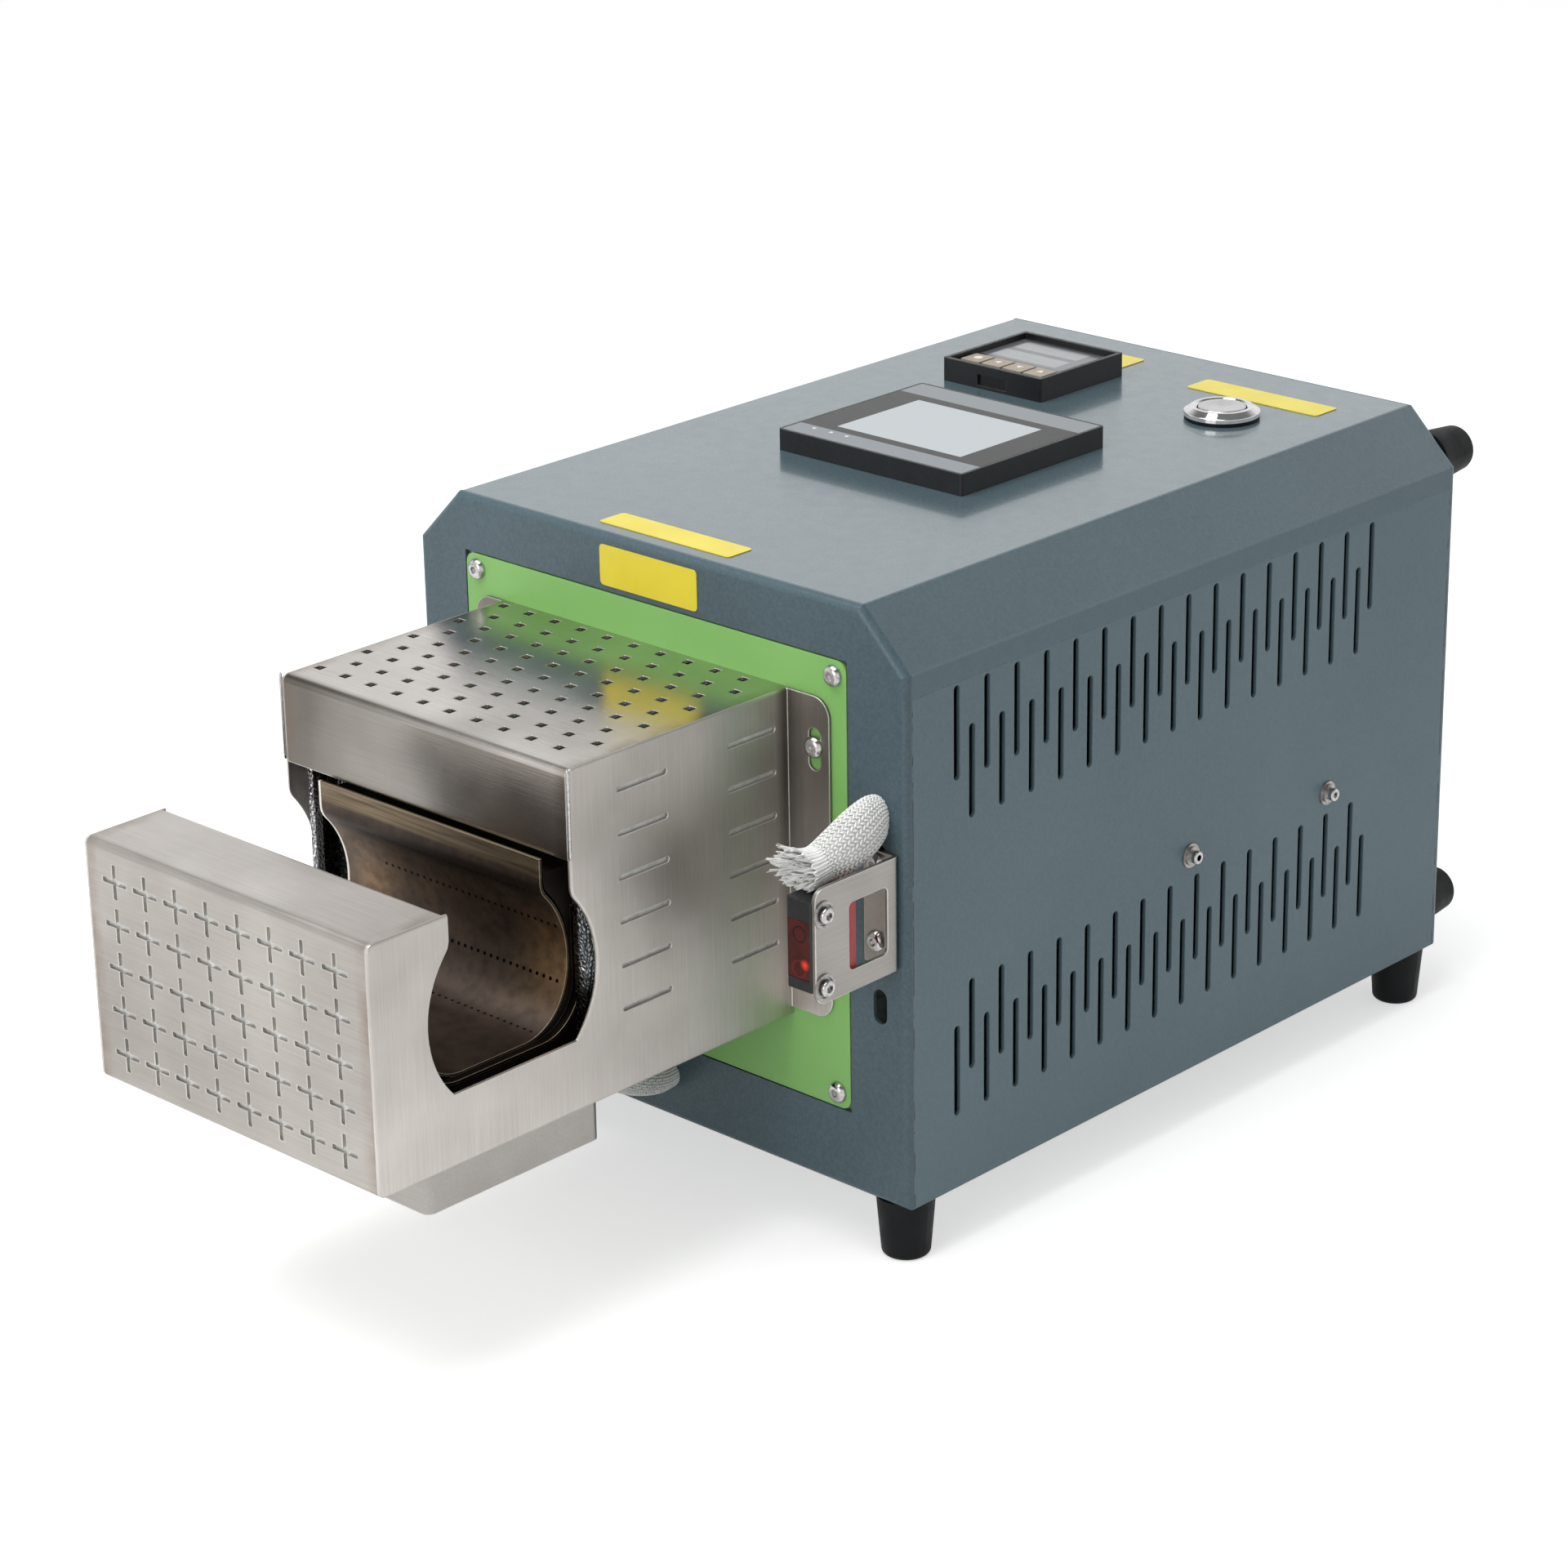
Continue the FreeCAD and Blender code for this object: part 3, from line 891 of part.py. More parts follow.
# Woven sleeves over the leads: a round stub in the case hole, then a soft tube through oval sections,
# each with its middle, its half width and its half height
def sleeve(label, across, level, sections):
    ovals = []
    places = [Vector(*middle) for middle, wide, tall in sections]
    for i, (middle, wide, tall) in enumerate(sections):
        ahead = places[min(i + 1, len(places) - 1)] - places[max(i - 1, 0)]
        ahead = Vector(0, ahead.y, ahead.z).normalize()
        across_x = Vector(1, 0, 0)
        stretch = FreeCAD.Matrix()
        stretch.scale(Vector(wide, tall, 1))
        oval = Part.Wire(Part.makeCircle(1.0)).transformGeometry(stretch)
        oval.Placement = Placement(places[i], Rotation(across_x, ahead.cross(across_x), ahead, "ZXY"))
        ovals.append(oval)
    tube = Part.makeLoft(ovals, True, False)
    stub = Part.makeCylinder(4.2, 5.0, Vector(across, 3.0, level), Vector(0, -1, 0))
    node = doc.addObject("Part::Feature", label)
    node.Label = label
    node.Shape = tube.fuse(stub).removeSplitter().Solids[0]
    return seat(node)


sleeve("sensor_sleeve", mm("lead_side"), mm("lead_level"),
       [((102.8, -0.6, 140.0), 4.9, 7.3), ((102.8, -3.6, 140.0), 5.4, 8.0), ((102.6, -10.0, 137.6), 5.6, 8.2),
        ((102.2, -19.0, 134.2), 5.4, 7.6), ((101.4, -27.0, 131.3), 5.0, 6.8), ((100.8, -33.0, 130.0), 5.6, 6.2)])
sleeve("heater_sleeve", mm("feed_side"), mm("feed_level"),
       [((1.6, -0.6, 17.0), 6.4, 5.2), ((1.6, -8.0, 17.0), 6.6, 5.4), ((1.5, -20.0, 21.5), 6.4, 5.4),
        ((1.2, -30.0, 29.0), 6.2, 5.4), ((0.9, -37.5, 41.0), 6.2, 5.4), ((0.7, -40.5, 56.0), 6.2, 5.4)])

# Mains inlet and main switch in the rear panel
inlet = new_body("power_inlet")
plate = sketch_on(inlet, "XZ_Plane", "-Dims.case_depth")
outline(plate, [(x, z, 3.0) for x, z in ((37, 35), (83, 35), (83, 61), (37, 61))])
pad(inlet, plate, "2.5", reverse=True)
socket = sketch_on(inlet, "XZ_Plane", "-Dims.case_depth - 2.5")
rectangle(socket, "46.7", "38.2", "26.6", "19.6")
pad(inlet, socket, "24")
well = sketch_on(inlet, "XZ_Plane", "-Dims.case_depth - 2.5")
outline(well, [(48, 40, 1), (72, 40, 1), (72, 52.5, 0), (68, 56, 0), (52, 56, 0), (48, 52.5, 0)])
pocket(inlet, well, "16", reverse=True)
pins = sketch_on(inlet, "XZ_Plane", "-Dims.case_depth + 18")
for x, z in ((53, 46), (60, 50), (67, 46)):
    rectangle(pins, "%g" % (x - 1), "%g" % (z - 2), "2", "4")
pad(inlet, pins, "10", reverse=True)

switch = new_body("main_switch_frame")
plate = sketch_on(switch, "XZ_Plane", "-Dims.case_depth")
outline(plate, [(x, z, 1.5) for x, z in ((45, 66), (75, 66), (75, 89), (45, 89))])
pad(switch, plate, "2", reverse=True)
body_of = sketch_on(switch, "XZ_Plane", "-Dims.case_depth - 2")
rectangle(body_of, "47.2", "68.2", "25.6", "18.6")
pad(switch, body_of, "22")
well = sketch_on(switch, "XZ_Plane", "-Dims.case_depth - 2")
rectangle(well, "49", "69.5", "22", "16")
pocket(switch, well, "12", reverse=True)
rocker = new_body("main_switch_rocker")
profile = sketch_on(rocker, "XY_Plane", "70")
pivot = Vector(60, D - 3, 0)
tilt = Rotation(Vector(0, 0, 1), -10)
paddle = [(-8.5, 3.2, 0.6), (0, -2.4, 6), (8.5, 3.2, 0.6), (9.5, 7.2, 0.8), (0, 4.6, 12), (-9.5, 7.2, 0.8)]
turned_off = [(pivot + tilt.multVec(Vector(a, b, 0)), r) for a, b, r in paddle]
outline(profile, [(place.x, place.y, r) for place, r in turned_off])
pad(rocker, profile, "15")

# Every feature must have come out sound before anything is written
doc.recompute()
for thing in doc.Objects:
    if "Invalid" in thing.State or "Error" in thing.State:
        raise RuntimeError("failed: " + thing.Label)
os.makedirs("parts", exist_ok=True)
for node in nodes:
    if node.Shape.isNull() or not node.Shape.isValid():
        raise RuntimeError("not a sound shape: " + node.Label)
for node in nodes:
    node.Shape.exportStep("parts/%s.step" % node.Label)
print(len(nodes), "nodes")
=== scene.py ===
import math
import random

import bmesh
import bpy
from mathutils import Matrix, Vector


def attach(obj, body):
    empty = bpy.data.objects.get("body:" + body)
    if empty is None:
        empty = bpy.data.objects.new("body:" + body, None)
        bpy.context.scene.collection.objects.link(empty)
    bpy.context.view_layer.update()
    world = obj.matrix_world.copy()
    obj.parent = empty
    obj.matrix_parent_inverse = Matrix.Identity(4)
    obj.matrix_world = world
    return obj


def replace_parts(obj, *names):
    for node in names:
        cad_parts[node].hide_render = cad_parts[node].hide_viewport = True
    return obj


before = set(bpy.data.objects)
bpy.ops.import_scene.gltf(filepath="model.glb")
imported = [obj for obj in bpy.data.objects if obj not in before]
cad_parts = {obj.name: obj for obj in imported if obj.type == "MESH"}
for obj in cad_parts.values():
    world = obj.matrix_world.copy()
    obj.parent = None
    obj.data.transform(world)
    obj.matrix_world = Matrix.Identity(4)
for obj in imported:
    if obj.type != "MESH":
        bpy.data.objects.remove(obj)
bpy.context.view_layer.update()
bpy.context.scene.view_settings.view_transform = "Standard"


# ---- Rubber feet and rear bumpers
# Black moulded rubber, tapered to a rounded tread and held by a screw sunk in the middle.
# The mould leaves a fine matt skin that rubs a little paler.
def shade(red, green, blue):
    """A colour as seen on a screen, 0 to 255, in the shader's own scale."""
    parts = [((c / 255 + 0.055) / 1.055) ** 2.4 if c > 10 else c / 3294.6 for c in (red, green, blue)]
    return (*parts, 1.0)


def add(finish, kind, sockets=None, **settings):
    """A node in a finish; its sockets take plain values or the outputs of other nodes."""
    node = finish.node_tree.nodes.new("ShaderNode" + kind)
    for name, value in settings.items():
        setattr(node, name, value)
    for name, value in (sockets or {}).items():
        if isinstance(value, bpy.types.NodeSocket):
            finish.node_tree.links.new(value, node.inputs[name])
        else:
            node.inputs[name].default_value = value
    return node


def new_finish(name, **sockets):
    """A finish whose shader has these sockets set, such as Roughness=0.4."""
    finish = bpy.data.materials.new(name)
    finish.use_nodes = True
    shader = finish.node_tree.nodes["Principled BSDF"]
    for socket, value in sockets.items():
        shader.inputs[socket.replace("_", " ")].default_value = value
    return finish, shader


def spread(finish, value, low, high, first=0.0, last=1.0):
    """A value stretched so that low becomes first and high becomes last."""
    sockets = {"Value": value, "From Min": low, "From Max": high, "To Min": first, "To Max": last}
    return add(finish, "MapRange", sockets).outputs["Result"]


def cloud(finish, scale, low, high, stretch=(1, 1, 1), detail=4.0):
    """Noise on the object's own coordinates, spread over low to high."""
    place = add(finish, "TexCoord").outputs["Object"]
    place = add(finish, "Mapping", {"Vector": place, "Scale": stretch}).outputs["Vector"]
    noise = add(finish, "TexNoise", {"Vector": place, "Scale": scale, "Detail": detail})
    return spread(finish, noise.outputs["Fac"], 0.3, 0.7, low, high)


def mix(finish, share, first, second):
    """Two colours mixed by a share."""
    node = add(finish, "Mix", data_type="RGBA")
    for socket, value in zip((node.inputs[0], node.inputs[6], node.inputs[7]), (share, first, second)):
        if isinstance(value, bpy.types.NodeSocket):
            finish.node_tree.links.new(value, socket)
        else:
            socket.default_value = value
    return node.outputs[2]


def lay(finish, shader, colour=None, rough=None, height=None, depth=1e-5, edge=None):
    """Joins the patterns of a finish to its shader; edge is the radius that softens sharp edges."""
    link = finish.node_tree.links.new
    if colour is not None:
        link(colour, shader.inputs["Base Color"])
    if rough is not None:
        link(rough, shader.inputs["Roughness"])
    normal = add(finish, "Bevel", {"Radius": edge}, samples=6).outputs["Normal"] if edge else None
    if height is not None:
        bump = add(finish, "Bump", {"Strength": 1.0, "Distance": depth, "Height": height})
        if normal:
            link(normal, bump.inputs["Normal"])
        normal = bump.outputs["Normal"]
    if normal:
        link(normal, shader.inputs["Normal"])


def mottled(name, tones, rough=None, grain=None, depth=1e-5, edge=None, **sockets):
    """A finish that wavers between two tones. Tones and rough give the scale and the ends of a noise,
    and grain is the scale of its bumps."""
    finish, shader = new_finish(name, **sockets)
    scale, dark, light = tones
    lay(finish, shader, colour=mix(finish, cloud(finish, scale, 0, 1), dark, light),
        rough=cloud(finish, *rough) if rough else None,
        height=cloud(finish, grain, 0, 1) if grain else None, depth=depth, edge=edge)
    return finish


def dress(finish, *names):
    """Gives CAD nodes a finish."""
    for name in names:
        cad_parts[name].material_slots[0].material = finish


rubber = mottled("rubber", (60, shade(8, 10, 12), shade(15, 17, 20)), (140, 0.42, 0.6), grain=2200,
                 depth=2e-5, edge=0.0004, Specular_IOR_Level=0.2)
dress(rubber, "base_feet", "rear_bumpers", "start_button_gasket")


# ---- Case sheets
# Bent steel sheet sprayed with blue-grey enamel: front, rear, top cover with its two long
# chamfers, and the vented sides. The enamel has a faint orange peel and is glossiest on the
# cover above its short legs, and the joints at the front and rear sheets are broken dark lines.
# The front sheet and the cover carry darker copies of the enamel, as painted shade.
front_y, bottom_z = -68.2, 22.3  # the case's front and bottom in the part's frame, in mm
case_middle = 151.7  # half way from the case's front to its rear
legs_end, bend_start = 188.5, 191.0  # the levels between which the cover's legs end


def calc(finish, kind, *values):
    """A sum on numbers or on the outputs of other nodes."""
    return add(finish, "Math", dict(enumerate(values)), operation=kind).outputs[0]


def times(finish, first, *others):
    """Numbers or outputs multiplied together."""
    for other in others:
        first = calc(finish, "MULTIPLY", first, other)
    return first


def axes(finish):
    """The object's coordinates in mm, counted on the case: across, back from its front and up."""
    place = add(finish, "TexCoord").outputs["Object"]
    sockets = {"Vector": place, "Location": (0.0, -front_y, -bottom_z), "Scale": (1000.0,) * 3}
    place = add(finish, "Mapping", sockets).outputs["Vector"]
    return add(finish, "SeparateXYZ", {"Vector": place}).outputs


def band(finish, value, low, high, soft=0.05):
    """One between low and high, nothing outside."""
    rise = spread(finish, value, low - soft, low + soft)
    fall = spread(finish, value, high + soft, high - soft)
    return times(finish, rise, fall)


def enamel(name, dark, light, low, high, coat=0.0, gloss=0.5, joints=False, legs=None):
    """Sprayed enamel between two tones and two roughnesses. Joints draws the broken lines, and legs is
    the tone of the cover's legs."""
    finish, shader = new_finish(name, Coat_Weight=coat, Coat_Roughness=0.1, Specular_IOR_Level=gloss)
    colour = mix(finish, cloud(finish, 9, 0, 1), dark, light)
    colour = mix(finish, cloud(finish, 900, 0.0, 0.1, detail=1.0), colour, shade(140, 156, 162))
    if legs:
        colour = mix(finish, spread(finish, axes(finish)["Z"], bend_start, legs_end), colour, legs)
    if joints:
        from_middle = calc(finish, "SUBTRACT", axes(finish)["Y"], case_middle)
        line = band(finish, calc(finish, "ABSOLUTE", from_middle), 148.15, 148.7, 0.1)
        broken = spread(finish, cloud(finish, 1, 0, 1, stretch=(25, 0, 70)), 0.5, 0.6)
        colour = mix(finish, times(finish, line, broken, 0.7), colour, shade(22, 26, 28))
    lay(finish, shader, colour=colour, rough=cloud(finish, 160, low, high),
        height=cloud(finish, 420, 0, 1, detail=2.0), depth=4e-6, edge=0.0005)
    return finish


case_enamel = enamel("case_enamel", shade(88, 110, 119), shade(96, 119, 128), 0.28, 0.36,
                     gloss=0.36, joints=True)
dress(case_enamel, "rear_panel", "side_panel_left", "side_panel_right")
# Painted shade: the front sheet takes a darker copy of the same enamel, to even out the extra light it
# catches.
shaded_front_enamel = enamel("shaded_front_enamel", shade(66, 85, 93), shade(73, 93, 101), 0.28, 0.36,
                      gloss=0.36, joints=True)
dress(shaded_front_enamel, "front_panel")
# Painted shade: the cover takes a darker copy of the enamel under its glossy coat, to offset the light the
# coat reflects; its legs take a tone nearer the sides' and no coat.
shaded_cover_enamel = enamel("shaded_cover_enamel", shade(70, 90, 98), shade(78, 99, 107), 0.24, 0.32,
                      coat=0.7, legs=shade(76, 101, 112))
wax = spread(shaded_cover_enamel, axes(shaded_cover_enamel)["Z"], legs_end, bend_start, 0.0, 0.7)
skin = shaded_cover_enamel.node_tree.nodes["Principled BSDF"]
shaded_cover_enamel.node_tree.links.new(wax, skin.inputs["Coat Weight"])
dress(shaded_cover_enamel, "top_cover")

# ---- Zinc-plated inner sheet
# Floor tray, carrier frame behind the window, blower stand and the instruments' clamps:
# folded steel with a pale zinc skin whose crystals show as faint patches.
zinc, skin = new_finish("zinc", Metallic=1.0)
place = add(zinc, "TexCoord").outputs["Object"]
crystal = add(zinc, "TexVoronoi", {"Vector": place, "Scale": 160.0}).outputs["Color"]
lay(zinc, skin, colour=mix(zinc, crystal, shade(120, 124, 126), shade(150, 154, 156)),
    rough=cloud(zinc, 200, 0.35, 0.5), edge=0.0003)
dress(zinc, "base_tray", "carrier_frame", "blower_stand", "controller_clamp", "touch_panel_clamps")

# ---- Green nozzle plate
# A flat plate sprayed light green, set into the window of the case front and held by four
# button-head screws.
plate_enamel = enamel("plate_enamel", shade(124, 184, 92), shade(132, 190, 99), 0.4, 0.48)
dress(plate_enamel, "nozzle_plate")


# ---- Yellow plates
# Four thin bare plates with rounded corners, stuck to the case: one on the front above the
# green plate, one on the cover's front edge, one by the button and one behind the controller.
def at(x, y, z):
    """A place in mm, counted on the case: across, back from its front, up from its bottom."""
    return Vector((x, y + front_y, z + bottom_z)) / 1000


def piece(name, shape, finish, body="machine", smooth=False):
    """Makes the drawn shape a piece of the oven."""
    mesh = bpy.data.meshes.new(name)
    shape.to_mesh(mesh)
    shape.free()
    for face in mesh.polygons:
        face.use_smooth = smooth
    mesh.materials.append(finish)
    thing = bpy.data.objects.new(name, mesh)
    bpy.context.scene.collection.objects.link(thing)
    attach(thing, body)
    return thing


def slab(low, high, corner, thin):
    """A thin plate between two places. Thin is the axis of its thickness, and corner is the radius of its
    outline in mm."""
    shape = bmesh.new()
    size = at(*high) - at(*low)
    place = Matrix.Translation((at(*low) + at(*high)) / 2)
    bmesh.ops.create_cube(shape, size=1.0, matrix=place @ Matrix.Diagonal((*size, 1.0)))
    short = [e for e in shape.edges if abs((e.verts[0].co - e.verts[1].co)[thin]) > 1e-6]
    bmesh.ops.bevel(shape, geom=short, offset=corner / 1000, offset_type="OFFSET", segments=5, profile=0.5,
                    affect="EDGES", material=-1)
    return shape


yellow = mottled("yellow_film", (60, shade(222, 204, 30), shade(232, 214, 44)), (200, 0.3, 0.42),
                 edge=0.0002, Coat_Weight=0.3, Coat_Roughness=0.2)
for name, low, high, thin in (("front_plate", (-23.5, -0.3, 191.8), (22.4, 0.0, 206.3), 1),
                              ("cover_front_plate", (-32.5, 8.4, 210.0), (29.0, 20.5, 210.3), 2),
                              ("button_plate", (17.8, 266.5, 210.0), (78.0, 280.0, 210.3), 2),
                              ("controller_plate", (-77.0, 270.5, 210.0), (-17.0, 286.0, 210.3), 2)):
    piece(name, slab(low, high, 1.6, thin), yellow)


# ---- Bright steel screws and washers
# Cold-headed stainless screws with hexagon sockets: polished heads, with drawing lines
# turned round them. The sensor's two screws stand on washers, and each side wall has two
# small cap screws on a spring washer and a flat washer.
def washer(middle, along, inner, outer, thick):
    """A ring of a square section about the axis along, sizes in mm."""
    shape = bmesh.new()
    side = along.orthogonal()
    marks = ((inner, 0.0), (outer, 0.0), (outer, thick), (inner, thick))
    rim = [shape.verts.new(middle + side * r / 1000 + along * h / 1000) for r, h in marks]
    face = shape.faces.new(rim)
    bmesh.ops.bevel(shape, geom=[face.edges[2]], offset=0.0001, offset_type="OFFSET", segments=1,
                    profile=0.5, affect="EDGES", material=-1)
    loop = list(shape.edges)
    bmesh.ops.delete(shape, geom=list(shape.faces), context="FACES_ONLY")
    bmesh.ops.spin(shape, geom=loop, cent=middle, axis=along, angle=2 * math.pi, steps=40, use_merge=True)
    bmesh.ops.recalc_face_normals(shape, faces=shape.faces)
    return shape


def cap_head(shape, middle, along):
    """A cylinder head with a rounded rim and a hexagon socket, drawn into the shape."""
    turn = Matrix.Translation(middle) @ along.to_track_quat("Z", "Y").to_matrix().to_4x4()
    marks = ((28, 2.4, 0.0), (28, 2.4, 2.2), (28, 2.15, 2.5), (6, 1.25, 2.5), (6, 1.25, 1.0))
    rims = []
    for sides, radius, height in marks:
        lift = turn @ Matrix.Translation((0, 0, height / 1000))
        rim = bmesh.ops.create_circle(shape, segments=sides, radius=radius / 1000, matrix=lift)["verts"]
        rims.append(list({edge for vert in rim for edge in vert.link_edges}))
    for lower, upper in zip(rims, rims[1:]):
        bmesh.ops.bridge_loops(shape, edges=lower + upper)
    bmesh.ops.contextual_create(shape, geom=rims[0])
    bmesh.ops.contextual_create(shape, geom=rims[-1])


def joined(shapes):
    """Several drawn shapes as one."""
    whole = bmesh.new()
    for shape in shapes:
        mesh = bpy.data.meshes.new("part")
        shape.to_mesh(mesh)
        shape.free()
        whole.from_mesh(mesh)
    return whole


bright_steel = mottled("bright_steel", (700, shade(172, 171, 170), shade(208, 207, 206)),
                       (900, 0.06, 0.14), edge=0.00025, Metallic=1.0)
dress(bright_steel, "plate_screws", "guard_screws", "sensor_screws", "bracket_screws",
      "blower_shaft", "start_button_nut")
dull_steel = mottled("dull_steel", (700, shade(142, 139, 136), shade(188, 185, 182)), (900, 0.3, 0.45),
                     Metallic=1.0)
bore, flat_thick, spring_thick = 1.6, 0.6, 0.9  # of the side screws' washers, in mm
flat, head = flat_thick / 1000, (flat_thick + spring_thick) / 1000
spots = [(at(side * 115.0, y, 83.2), Vector((side, 0, 0))) for side in (1, -1) for y in (149.5, 229.5)]
flat_rings = joined([washer(spot, along, bore, 3.15, flat_thick) for spot, along in spots])
spring_rings = joined([washer(spot + along * flat, along, bore, 2.45, spring_thick) for spot, along in spots])
heads = bmesh.new()
for spot, along in spots:
    cap_head(heads, spot + along * head, along)
bmesh.ops.recalc_face_normals(heads, faces=heads.faces)
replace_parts(piece("side_flat_washers", flat_rings, dull_steel), "side_washers")
piece("side_spring_washers", spring_rings, dull_steel)
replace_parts(piece("side_cap_screws", heads, bright_steel), "side_screws")
for name, level in (("sensor_washer_low", 93.8), ("sensor_washer_high", 119.2)):
    ring = washer(at(112.0, -36.6, level), Vector((1, 0, 0)), 2.6, 3.3, 0.6)
    piece(name, ring, dull_steel)

# ---- Hot-air works inside the case
# Blower of black moulded plastic on a dark motor, a drilled ceramic heater core, the
# power supply and relay sink in plain aluminium, and the relay in cream plastic.
black_plastic = mottled("black_plastic", (90, shade(20, 21, 23), shade(30, 32, 34)), (500, 0.34, 0.5),
                        grain=3000, depth=1.5e-5, edge=0.0005)
dress(black_plastic, "blower_housing", "blower_cover", "blower_impeller", "power_inlet",
      "main_switch_frame", "main_switch_rocker")
dress(enamel("motor_enamel", shade(48, 50, 54), shade(58, 60, 64), 0.3, 0.4), "blower_motor")
ceramic = mottled("ceramic", (120, shade(206, 200, 184), shade(232, 228, 214)), (400, 0.6, 0.8),
                  edge=0.0003)
dress(ceramic, "heater_core")
alloy = mottled("alloy", (30, shade(150, 152, 154), shade(176, 178, 180)), (60, 0.3, 0.45, (1, 1, 40)),
                edge=0.0003, Metallic=1.0)
dress(alloy, "power_supply", "relay_heatsink")
cream = mottled("cream_plastic", (80, shade(206, 200, 182), shade(216, 211, 196)), (300, 0.4, 0.5),
                edge=0.0003)
dress(cream, "solid_state_relay")


# ---- Stainless guard
# Cut and folded stainless sheet, welded at its seams and ground: two sides with flanges,
# the perforated hood, the front wrap with its crosses and the tray under the floor.
# The grain of the sheet runs along one direction on each piece and a painted highlight runs
# along the edges. Heat has browned the sheet at the welds and partly dulled the hood above the
# slot; painted shade darkens the hood's front, the block's front and the sides.
guard_middle = -4.5  # across the case, in mm
grain_across = (40, 2400, 2400)


def edge_mask(finish, radius):
    """One along edges, nothing on flat sheet."""
    soft = add(finish, "Bevel", {"Radius": radius}, samples=8).outputs["Normal"]
    plain = add(finish, "NewGeometry").outputs["Normal"]
    turn = add(finish, "VectorMath", {0: soft, 1: plain}, operation="DOT_PRODUCT").outputs["Value"]
    return spread(finish, turn, 0.985, 0.86)


def stainless(name, grain, rough, seams=False, painted_shade=None, pale=1.0):
    """Ground stainless sheet. Grain stretches its lines, pale scales its tones, seams browns it at the
    welds, and a shade pattern, given as a function, sets the share of painted shade that darkens it."""
    finish, shader = new_finish(name, Metallic=1.0)
    base, light, dark = [shade(c * pale, (c - 5) * pale, (c - 10) * pale) for c in (176, 200, 132)]
    colour = mix(finish, cloud(finish, 22, 0, 1, detail=8.0), base, light)
    colour = mix(finish, cloud(finish, 1, 0.0, 0.24, stretch=grain, detail=3.0), colour, dark)
    # Painted shade: duller, darker patches that stand in for the dark things the sheet reflects.
    if painted_shade:
        colour = mix(finish, painted_shade(finish), colour, shade(84, 79, 71))
    if seams:
        seam = calc(finish, "ABSOLUTE", calc(finish, "SUBTRACT", axes(finish)["X"], guard_middle))
        halo = times(finish, spread(finish, seam, 61.5, 67.0), cloud(finish, 90, 0.0, 0.6, detail=6.0))
        colour = mix(finish, halo, colour, shade(124, 100, 82))
        colour = mix(finish, band(finish, seam, 67.1, 67.45, 0.06), colour, shade(70, 63, 58))
    # Painted highlight along the edges.
    edge = times(finish, edge_mask(finish, 0.0008), cloud(finish, 60, 0.5, 1.0, detail=6.0))
    colour = mix(finish, edge, colour, shade(236, 233, 229))
    lay(finish, shader, colour=colour, rough=cloud(finish, 30, rough - 0.04, rough + 0.05),
        height=cloud(finish, 1, 0, 1, stretch=grain, detail=4.0), depth=1e-5, edge=0.0006)
    return finish


def hood_shade_and_heat_tint(finish):
    """Painted shade on the hood's front, strongest at the left, for the dark things it reflects; partly heat
    dulling from the hot slot below it.
    """
    across, back, _ = axes(finish)
    front = spread(finish, back, -97.0, -100.5)
    right = spread(finish, across, -60.0, 40.0, 1.0, 0.1)
    return times(finish, front, right, cloud(finish, 12, 0.75, 1.0, detail=5.0))


def wrap_front_shade(finish):
    """Painted shade on the block's front, so that it reads darker than the block's top."""
    front = spread(finish, axes(finish)["Y"], -183.0, -186.5, 0.0, 0.42)
    return times(finish, front, cloud(finish, 16, 0.75, 1.0, detail=5.0))


def side_shade(finish):
    """Painted shade on the sides, darker towards the case and the top and on the flange, for the dark case
    they reflect.
    """
    _, back, up = axes(finish)
    rear = spread(finish, back, -105.0, -12.0, 0.0, 0.03)
    flange = spread(finish, back, -7.0, -3.0, 0.0, 0.8)
    high = spread(finish, up, 62.0, 150.0, 0.2, 1.0)
    lines = cloud(finish, 1, 0.7, 1.0, stretch=(60, 90, 4))
    return times(finish, calc(finish, "ADD", rear, flange), high, lines)


hood_steel = stainless("hood_steel", grain_across, 0.22, seams=True, painted_shade=hood_shade_and_heat_tint, pale=1.1)
# Painted light: the block's higher pale value lifts its top; painted shade takes its front down again.
wrap_steel = stainless("wrap_steel", grain_across, 0.36, seams=True, painted_shade=wrap_front_shade, pale=1.12)
side_steel = stainless("side_steel", (1500, 2400, 30), 0.46, painted_shade=side_shade, pale=1.06)
tray_steel = stainless("tray_steel", grain_across, 0.36, pale=0.88)
bracket_steel = stainless("bracket_steel", (900, 40, 2400), 0.34, pale=0.86)
dress(hood_steel, "guard_hood")
dress(wrap_steel, "guard_front")
dress(side_steel, "guard_side_left", "guard_side_right")
dress(tray_steel, "guard_tray")
dress(bracket_steel, "sensor_bracket")

# The two upright corners of the hood are closed by a short ground weld
beads, bead_pitch, weld_foot = 34, 0.86, 146.2
bead = Matrix.Diagonal((0.0006, 0.0006, 0.0013, 1.0))
for name, x in (("weld_left", -73.0), ("weld_right", 64.0)):
    shape = bmesh.new()
    for i in range(beads):
        place = Matrix.Translation(at(x, -101.5, weld_foot + i * bead_pitch))
        bmesh.ops.create_uvsphere(shape, u_segments=10, v_segments=6, radius=1.0, matrix=place @ bead)
    piece(name, shape, bright_steel, smooth=True)


